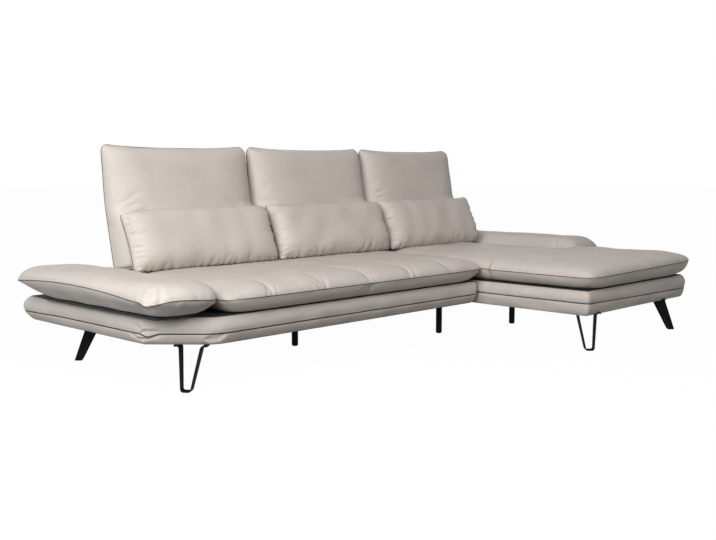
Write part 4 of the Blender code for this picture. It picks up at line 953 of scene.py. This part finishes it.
def chaise_piece():
    """The long cushion, which widens in front of the right-hand arm pad."""
    low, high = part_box("chaise_cushion")
    front = low.y
    left = CHAISE_LEFT - UNIT_GAP / 2 + SIDE_GAP / 4
    free_left = CHAISE_LEFT - CHAISE_BULGE
    narrow_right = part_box("arm_pad_right")[0].x - SIDE_GAP
    wide_right = CHAISE_RIGHT + CHAISE_BULGE
    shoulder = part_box("arm_pad_right")[0].y - SIDE_GAP
    run = 4 * SIDE_GAP
    depth = SEAT_REAR - front

    def plan(u, v):
        y = mix(front, SEAT_REAR, (v + 1) / 2)
        narrowing = ease(y, shoulder - run, shoulder)
        x_right = mix(wide_right, narrow_right, narrowing)
        x_left = mix(free_left, left, narrowing)
        x = mix(x_left, x_right, (u + 1) / 2)
        taper = np.where(v < 0, 1 - 0.045 * np.abs(v) ** 16, 1.0)
        x = mix((x_left + x_right) / 2, x, taper)
        y = y + np.where(v < 0, 0.030 * np.abs(u) ** 10 * np.abs(v) ** 10, 0.0)
        return x, y

    def seam(u, v):
        return SEAT_SEAM + CHAISE_SEAM_RISE * (1 - v) / 2 * (1 + u) / 2

    def top(u, v):
        rise = np.where(v < 0, crown(u, v, 10, 18, 0.54), crown(u, v, 10, 40))
        return *plan(u, v), mix(seam(u, v), SEAT_TOP, rise)

    def top_relief(u, v, x, y, z):
        from_front = np.maximum(y - front, 0)
        from_left = (u + 1) / 2 * (wide_right - free_left)
        from_right = (1 - u) / 2 * (wide_right - free_left)
        from_edge = np.minimum(np.minimum(from_front, from_left), from_right)
        relief = pinch(from_edge)
        relief += 0.0038 * swell(x, y, 0.13, 5) * ease(from_edge, 0, 0.06)
        relief += 0.007 * ease(from_edge, 0.02, 0.30)
        for line in (-0.52, -0.16, 0.20):
            nearest = np.abs(y - line - 0.02 * np.sin(3 * x))
            relief -= 0.0032 * np.exp(-((nearest / 0.012) ** 1.1)) * ease(from_edge, 0.03, 0.10)
        relief += gathers("chaise_front", x, from_front, free_left + 0.05, wide_right - 0.05, 71)
        relief += gathers("chaise_side", y, from_left, front + 0.05, shoulder, 72)
        return relief

    def bottom(u, v):
        fall = np.minimum(1.0, 1.06 * crown(u, v, 12, 24, 0.66))
        return *plan(u, v), mix(seam(u, v), low.z, fall)

    def bottom_relief(u, v, x, y, z):
        below = np.maximum(seam(u, v) - z, 0)
        tucks = gathers("chaise_below", x, below, free_left, wide_right, 73)
        tucks += 0.0016 * swell(x + y, z * 3, 0.12, 74)
        return -tucks * ease(below, 0, 0.012) * ease(z, low.z, low.z + 0.008)

    u, v = grid_of("chaise", (wide_right - free_left) / 2, depth / 2)
    forms = (top, bottom)
    moves = stuffed(*forms, (wide_right - free_left, depth), "seat")
    piece, cord = cushion("chaise_cushion", u, v, forms, (top_relief, bottom_relief), moves, low.z)
    finished(piece, "root", ["chaise_cushion"], [cord])


# Arm pads

def pad_piece(hand, side):
    """A padded arm, lying low: a lens in section with a seam all round."""
    node = "arm_pad_" + hand
    low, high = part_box(node)
    inner = low.x if side > 0 else high.x
    front, rear = low.y, high.y
    underside = low.z
    seam_height = underside + PAD_SEAM_HEIGHT
    crest = underside + PAD_THICKNESS + PAD_CREST_SHIFT[hand]
    setback = PAD_CORNER_SETBACK[hand]

    def front_edge(outward):
        beyond = np.clip((outward - PAD_FOREMOST) / (PAD_WIDTH - PAD_FOREMOST), 0, None)
        short = np.clip((PAD_FOREMOST - outward) / PAD_FOREMOST, 0, None)
        return front + setback * beyond ** 2 + PAD_TIP_ROUNDING * short ** 5

    def plan(u, v):
        outward = PAD_WIDTH / 2 * (1 + u * (1 - 0.02 * np.abs(v) ** 8))
        end = rear - 0.03 * np.abs(u) ** 6
        return inner + side * outward, mix(front_edge(outward), end, (v + 1) / 2)

    def seam(u, v):
        outer = (1 + u) / 2
        rise = (PAD_SEAM_RISE + 0.006) * outer * (1 - v ** 2 + (1 + v) / 4)
        lift = PAD_FRONT_LIFT * bell(1 + v, 0.10) * ease(outer, 0.05, 0.7)
        corner = np.hypot((1 - outer) * PAD_WIDTH / 1.5, (1 + v) / 2 * (rear - front) - 0.006)
        return seam_height + rise + lift - (PAD_CORNER_DIP + lift) * bell(corner, 0.042)

    def top(u, v):
        power = np.where(v < 0, PAD_FRONT_POWER[hand], PAD_REAR_POWER)
        rise = np.where(u > 0, crown(u, v, 4, power, 0.53), crown(u, v, 3.2, power, 0.53))
        x, y = plan(u, v)
        z = mix(seam(u, v), crest, rise)
        room = underside + PAD_ROOM_RISE + PAD_ROOM_SLOPE * (x - inner) * side
        over = np.logaddexp(0.0, (z - room) / PAD_ROOM_SOFTNESS) * PAD_ROOM_SOFTNESS
        return x, y, z - over * ease(-u, 0.0, 0.1) * ease(rise, 0.0, 0.2)

    def relief_of(x, y, seed):
        outward = (x - inner) * side
        from_front = np.maximum(y - front_edge(outward), 0)
        from_side = np.maximum(PAD_WIDTH - outward, 0)
        from_edge = np.minimum(np.minimum(from_front, from_side), np.maximum(rear - y, 0))
        relief = pinch(from_edge)
        relief += 0.0034 * swell(x, y, 0.14, seed) * ease(from_edge, 0, 0.05)
        relief += gathers("pad_front", outward, from_front, 0.04, PAD_WIDTH, seed + 1)
        relief += gathers("pad_side", y, from_side, front + 0.06, rear - 0.05, seed + 2)
        return relief

    def top_relief(u, v, x, y, z):
        relief = relief_of(x, y, 81 + side)
        for start, end, width, depth in PAD_TOP_FOLDS:
            relief += crease((x - inner) * side, y - front, start, end, width, depth)
        return side * relief

    def bottom(u, v):
        outer = np.minimum(1.0, 1.05 * crown(u, v, 2.6, 9, 0.72))
        fall = np.where(u > 0, outer, np.minimum(1.0, 1.05 * crown(u, v, 5, 9, 0.66)))
        from_edge = np.minimum((1 - np.abs(u)) * PAD_WIDTH, (1 - np.abs(v)) * (rear - front)) / 2
        edge = underside + PAD_TUCK * (1 - ease(from_edge, 0.03, 0.10))
        return *plan(u, v), mix(seam(u, v), edge, fall)

    def bottom_relief(u, v, x, y, z):
        relief = relief_of(x, y, 91 + side)
        along = PAD_WIDTH - (x - inner) * side - (y - front - setback)
        for start, end, width, depth in PAD_FOLDS:
            relief += (v < 0) * crease(along, seam(u, v) - z, start, end, width, depth)
        return side * -relief * ease(z, underside, underside + 0.012)

    u, v = grid_of("pad", PAD_WIDTH / 2, (rear - front) / 2)
    forms = (top, bottom)
    moves = stuffed(*forms, (PAD_WIDTH, rear - front), "pad")
    from_inner = np.linspace(0.0, PAD_WIDTH, moves[0].shape[1])
    moves = (moves[0] * ease(from_inner, 0.0, 0.09)[None, :, None], moves[1])
    piece, cord = cushion(node, u, v, forms, (top_relief, bottom_relief), moves, underside)
    cut_slots(piece, hand)
    finished(piece, "arm_" + hand, [node], [cord])


def cut_slots(piece, hand):
    """Open the pad's underside round its two hinges."""
    for place in ("front", "rear"):
        lever_low, lever_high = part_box(f"arm_lever_{hand}_{place}")
        bracket_low, bracket_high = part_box(f"arm_bracket_{hand}_{place}")
        clear = Vector((SLOT_ROOM, SLOT_ROOM, SLOT_ROOM))
        low = Vector(map(min, lever_low, bracket_low)) - clear
        clear.z /= 2
        high = Vector(map(max, lever_high, bracket_high)) + clear
        bm = bmesh.new()
        bmesh.ops.create_cube(bm, size=1.0)
        for vertex in bm.verts:
            for axis in range(3):
                vertex.co[axis] = mix(low[axis], high[axis], vertex.co[axis] + 0.5)
        mesh = bpy.data.meshes.new("slot")
        bm.to_mesh(mesh)
        bm.free()
        cutter = placed("slot", mesh)
        cut = piece.modifiers.new("slot", "BOOLEAN")
        cut.operation = "DIFFERENCE"
        cut.solver = "EXACT"
        cut.object = cutter
        bake(piece)
        bpy.data.objects.remove(cutter, do_unlink=True)


def bake(piece):
    """Replace a piece's mesh by what its modifiers make of it."""
    bpy.context.view_layer.update()
    graph = bpy.context.evaluated_depsgraph_get()
    made = bpy.data.meshes.new_from_object(piece.evaluated_get(graph))
    piece.modifiers.clear()
    piece.data = made


# Backs

def rear_plane(z):
    """Y of the rear face of a back at a height: it leans, less above the hinge."""
    lower = BACK_REAR + (np.minimum(z, HINGE_HEIGHT) - BACK_BOTTOM) * tan(BACK_LEAN)
    return lower + np.maximum(0.0, z - HINGE_HEIGHT) * tan(HEAD_LEAN)


def crease_rows(rows):
    """The rows of a back's grid, with closer ones where it bends."""
    height = HEAD_TOP - BACK_BOTTOM
    low, high = (2 * (z - BACK_BOTTOM) / height - 1 for z in (CREASE - 0.01, HINGE_HEIGHT + 0.03))
    outside = rows[(rows < low) | (rows > high)]
    return np.sort(np.concatenate([outside, np.linspace(low, high, 44)]))


def top_tuck(z, top):
    """How far a back's side lies in where its top corner is rounded."""
    above = np.clip(z - top + HEAD_CORNER_RADIUS, 0.0, HEAD_CORNER_RADIUS)
    return HEAD_CORNER_RADIUS - np.sqrt(HEAD_CORNER_RADIUS ** 2 - above ** 2)


def back_cover(number):
    """The cushion of a back and its headrest, in one cover that leans less above the hinge."""
    lower, upper = f"back_cushion_{number}", f"headrest_cushion_{number}"
    middle, half = span(lower)

    def top_line(u):
        return HEAD_TOP - HEAD_TOP_SAG * (1 - np.abs(u) ** 3)

    def across(u, z):
        return middle + u * (half - top_tuck(z, top_line(u)))

    def front_plane(z):
        softened = BEND_SOFTNESS * np.logaddexp(0.0, (z - HINGE_HEIGHT) / BEND_SOFTNESS)
        straight = BACK_REAR + (z - BACK_BOTTOM) * tan(BACK_LEAN)
        return straight - softened * (tan(BACK_LEAN) - tan(HEAD_LEAN))

    def front(u, v):
        z = mix(BACK_BOTTOM, top_line(u), (v + 1) / 2)
        near_top = np.clip(1 - (top_line(u) - z) / HEAD_HALF, 0.0, 1.0)
        near_foot = np.clip(1 - (z - BACK_BOTTOM) / FOOT_HALF, 0.0, 1.0)
        higher = ease(z, SIDE_SEAM_HEIGHT - 0.02, CREASE + 0.03)
        side_power = mix(SIDE_POWER_FOOT, SIDE_POWER_HEAD, higher)
        rise = crown(u, near_top, side_power, 6) * crown(0.0, near_foot, 24, 14)
        depth = mix(BACK_DEPTH, HEAD_DEPTH, ease(z, CREASE - 0.05, HEAD_TOP)) - SHELL_DEPTH
        return across(u, z), front_plane(z) - SHELL_DEPTH - depth * rise, z

    def relief(u, v, x, y, z):
        from_side = half * (1 - np.abs(u))
        folds = 0.0022 * swell(x, z, 0.16, 120 + number)
        for (start, low), (end, high), width, depth in BACK_FOLDS[number]:
            ends = ((middle + start, CREASE + low), (middle + end, CREASE + high))
            folds += crease(x, z, *ends, width, depth)
        for side in (-1, 1):
            ends = (HEAD_TOP - 0.14, HEAD_TOP - 0.01)
            tucks = gathers("back_side", z, from_side, *ends, 130 + number + side)
            folds += (u * side > 0) * tucks
        return folds * ease(from_side, 0.0, 0.015)

    def back(u, v):
        z = mix(BACK_BOTTOM, top_line(u), (v + 1) / 2)
        return across(u, z), rear_plane(z) - SHELL_DEPTH, z

    u, v = grid_of("back", half, (HEAD_TOP - BACK_BOTTOM) / 2)
    v = crease_rows(v)
    moves = stuffed(front, back, (2 * half, HEAD_TOP - BACK_BOTTOM), "back")[0]
    outer = sheet(front, u, v, relief) + sampled(moves, *np.meshgrid(u, v))
    inner = sheet(back, u, v)
    piece = quilt(f"back_{number}_cover", outer, inner)
    cord = tube(f"back_{number}_welt", edge_loop(inner))
    seams = side_seams(number, front, top_line)
    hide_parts(lower, upper)
    for item in (piece, cord, *seams):
        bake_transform(item)


def side_seams(number, front, top_line):
    """The level seam across each side of a back."""
    made = []
    for side in (-1, 1):
        u = side * (1 - 0.018 * np.linspace(0.0, 1.0, 24) ** 2)
        v = 2 * (SIDE_SEAM_HEIGHT - BACK_BOTTOM) / (top_line(u) - BACK_BOTTOM) - 1
        path = np.stack(front(u, v), axis=-1)
        name = f"back_{number}_side_seam_{side % 3}"
        made.append(tube(name, path, False, SIDE_SEAM_RADIUS, SEAM, 6))
    return made


def rear_panel(name, node, body):
    """The covered panel behind a cushion: it closes the slot for the steel and is crowned a little."""
    low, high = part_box(node)
    middle, half = span(node)
    reach = SHELL_DEPTH - 2 * HAIR

    def across(u, z):
        return middle + u * (half + SHELL_PROUD - top_tuck(z, HEAD_TOP))

    def outer(u, v):
        z = mix(low.z, high.z, (v + 1) / 2)
        rise = crown(u, v, 30, 20)
        return across(u, z), rear_plane(z) - reach * (1 - rise), z

    def inner(u, v):
        z = mix(low.z, high.z, (v + 1) / 2)
        return across(u, z), rear_plane(z) - reach, z

    u, v = grid_of("panel", half, (high.z - low.z) / 2)
    finished(quilt(name, sheet(outer, u, v), sheet(inner, u, v)), body, [node])


# Lumbar cushions

def lumbar(number):
    """The loose cushion that leans on a back: two panels sewn together, with gathered ends."""
    node = f"lumbar_cushion_{number}"
    middle, half = span(node)
    foot_z = SEAT_TOP + HAIR
    foot_y = BACK_REAR - LUMBAR_FOOT_SETBACK
    reach = LUMBAR_HEIGHT / 2

    def place(u, v, forward):
        along = reach * (1 + v)
        for side in (-1, 1):
            ear = np.clip(u * side, 0.0, 1.0) ** 9
            along = along + LUMBAR_CORNER_LIFT.get((number, side), 0.0) * ear * ((1 + v) / 2) ** 3
        y = foot_y + along * sin(LUMBAR_LEAN) - forward * cos(LUMBAR_LEAN)
        z = foot_z + along * cos(LUMBAR_LEAN) + forward * sin(LUMBAR_LEAN)
        narrow = LUMBAR_END_BOW * (1 - v ** 2) + LUMBAR_CORNER_TUCK * v ** 14
        return middle + u * (half - narrow), y, z

    def front(u, v):
        power = np.where(v > 0, LUMBAR_TOP_POWER, LUMBAR_FOOT_POWER)
        return place(u, v, LUMBAR_FRONT * crown(u, v, 12, power))

    def back(u, v):
        return place(u, v, -LUMBAR_REAR * crown(u, v, 12, 2.4))

    def relief(u, v, x, y, z):
        along = v * reach
        from_end = half * (1 - np.abs(u))
        from_foot = reach * (1 + v)
        from_top = reach * (1 - v)
        from_edge = np.minimum(np.minimum(from_end, from_foot), from_top)
        waves = 0.0030 * swell(x, along, 0.10, 150 + number)
        folds = pinch(from_edge) + waves * ease(from_edge, 0, 0.04)
        for side in (-1, 1):
            mask = (u * side) > 0
            ends = (-reach * 0.95, reach * 0.95)
            tucks = gathers("lumbar_end", along, from_end, *ends, 160 + number + side)
            folds += mask * ease(from_end, 0.0, 0.008) * tucks
        ends = (middle - half, middle + half)
        folds += gathers("lumbar_foot", x, from_foot, *ends, 170 + number)
        folds += gathers("lumbar_top", x, from_top, *ends, 180 + number)
        return folds

    u, v = grid_of("lumbar", half, reach)
    both = np.meshgrid(u, v)
    folds, under = stuffed(front, back, (2 * half, 2 * reach), "lumbar")
    upper = sheet(front, u, v, relief) + sampled(folds, *both)
    lower = sheet(back, u, v) + sampled(under, *both)
    piece = quilt(f"lumbar_{number}_cover", upper, lower)
    cords = []
    for column in (0, -1):
        cords.append(tube(f"lumbar_{number}_welt_{column % 3}", upper[:, column], False))
    # The foot's thick dark cord is painted shade where the cushion meets the seat
    cords.append(tube(f"lumbar_{number}_foot_welt", upper[0], False, FOOT_WELT_RADIUS))
    finished(piece, f"back_{number}", [node], cords)


# Light, floor and camera

def pointed(holder, place, ahead):
    """Put a lamp or the camera at a place, facing ahead."""
    holder.location = place
    holder.rotation_euler = ahead.to_track_quat("-Z", "Y").to_euler()


def area_light(name, place, aim, size, power, colour):
    """A soft square lamp aimed at a point."""
    lamp = bpy.data.lights.new(name, "AREA")
    lamp.shape = "SQUARE"
    lamp.size = size
    lamp.energy = power
    lamp.color = colour
    pointed(placed(name, lamp), place, Vector(aim) - Vector(place))


def seen_white(tree, plain, white):
    """Mixes towards white for rays from the camera, glossy surfaces and glass."""
    light_path = shader_node(tree, "LightPath")
    level = light_path.outputs["Is Camera Ray"]
    for ray in ("Is Glossy Ray", "Is Transmission Ray"):
        either = shader_node(tree, "Math")
        either.operation = "MAXIMUM"
        tree.links.new(level, either.inputs[0])
        tree.links.new(light_path.outputs[ray], either.inputs[1])
        level = either.outputs["Value"]
    choose = shader_node(tree, "MixShader")
    tree.links.new(level, choose.inputs["Fac"])
    tree.links.new(plain, choose.inputs[1])
    tree.links.new(white, choose.inputs[2])
    return choose.outputs["Shader"]


def studio():
    """White surroundings and soft light from the front left."""
    scene = bpy.context.scene
    scene.view_settings.view_transform = "Standard"
    world = bpy.data.worlds.new("studio")
    scene.world = world
    world.use_nodes = True
    tree = world.node_tree
    around = tree.nodes["Background"]
    around.inputs["Color"].default_value = WHITE
    around.inputs["Strength"].default_value = AMBIENT
    seen = shader_node(tree, "Background", Color=WHITE, Strength=1.0)
    shown = seen_white(tree, around.outputs["Background"], seen.outputs["Background"])
    tree.links.new(shown, tree.nodes["World Output"].inputs["Surface"])
    for lamp in LAMPS:
        area_light(*lamp)
    floor_sheet()


def floor_sheet():
    """A floor that looks white, keeps a soft shadow and throws little light back up."""
    made, tree, shader = nodes_of("white_floor")
    shader.inputs["Base Color"].default_value = (*grey(FLOOR_BOUNCE), 1.0)
    shader.inputs["Roughness"].default_value = 0.9
    pale = shader_node(tree, "BsdfDiffuse", Color=(*grey(0.9), 1.0))
    glow = shader_node(tree, "Emission", Color=WHITE, Strength=1.0)
    shadowed = shader_node(tree, "MixShader", Fac=FLOOR_GLOW)
    tree.links.new(pale.outputs["BSDF"], shadowed.inputs[1])
    tree.links.new(glow.outputs["Emission"], shadowed.inputs[2])
    shown = seen_white(tree, shader.outputs["BSDF"], shadowed.outputs["Shader"])
    tree.links.new(shown, tree.nodes["Material Output"].inputs["Surface"])
    size = 40.0
    mesh = bpy.data.meshes.new("floor")
    corners = [(-size, -size, 0), (size, -size, 0), (size, size, 0), (-size, size, 0)]
    mesh.from_pydata(corners, [], [(0, 1, 2, 3)])
    mesh.materials.append(made)
    placed("floor", mesh)


def photo_camera():
    """The camera at the photograph's place."""
    lens = bpy.data.cameras.new("camera")
    lens.lens = CAMERA_LENS
    lens.sensor_width = CAMERA_SENSOR
    holder = placed("camera", lens)
    ahead = Vector((
        cos(CAMERA_DIP) * cos(CAMERA_HEADING),
        cos(CAMERA_DIP) * sin(CAMERA_HEADING),
        -sin(CAMERA_DIP),
    ))
    pointed(holder, CAMERA_PLACE, ahead)
    bpy.context.scene.camera = holder


def dress_frame():
    """Give each CAD node that stays in view its material."""
    skins = {
        "black_steel": BLACK_STEEL, "zinc_steel": ZINC, "plywood": PLYWOOD,
        "webbing": WEBBING, "black_cloth": BLACK_CLOTH_AND_PAINTED_SHADE, "leather": LEATHER,
    }
    for part in frame["record"]["subparts"]:
        node = frame["nodes"][part["node"]]
        for slot in node.material_slots:
            slot.material = skins[part["material_slot"]]


photo_camera()
studio()
dress_frame()
base_piece("main", MAIN_CORNERS, 1)
base_piece("chaise", CHAISE_CORNERS, 2)
pad_line = {hand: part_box("arm_pad_" + hand)[side < 0].x for hand, side in HANDS.items()}
deck_piece("rear_deck_main", pad_line["left"] + DECK_MARGIN, MAIN_RIGHT - ROLL_INSET)
deck_piece("rear_deck_chaise", CHAISE_LEFT + ROLL_INSET, pad_line["right"] - DECK_MARGIN)
seat_piece()
chaise_piece()
for hand, side in HANDS.items():
    pad_piece(hand, side)
for number in BACKS:
    back_cover(number)
    rear_panel(f"back_{number}_panel", f"back_shell_{number}", f"back_{number}")
    rear_panel(f"headrest_{number}_panel", f"headrest_shell_{number}", f"headrest_{number}")
    lumbar(number)
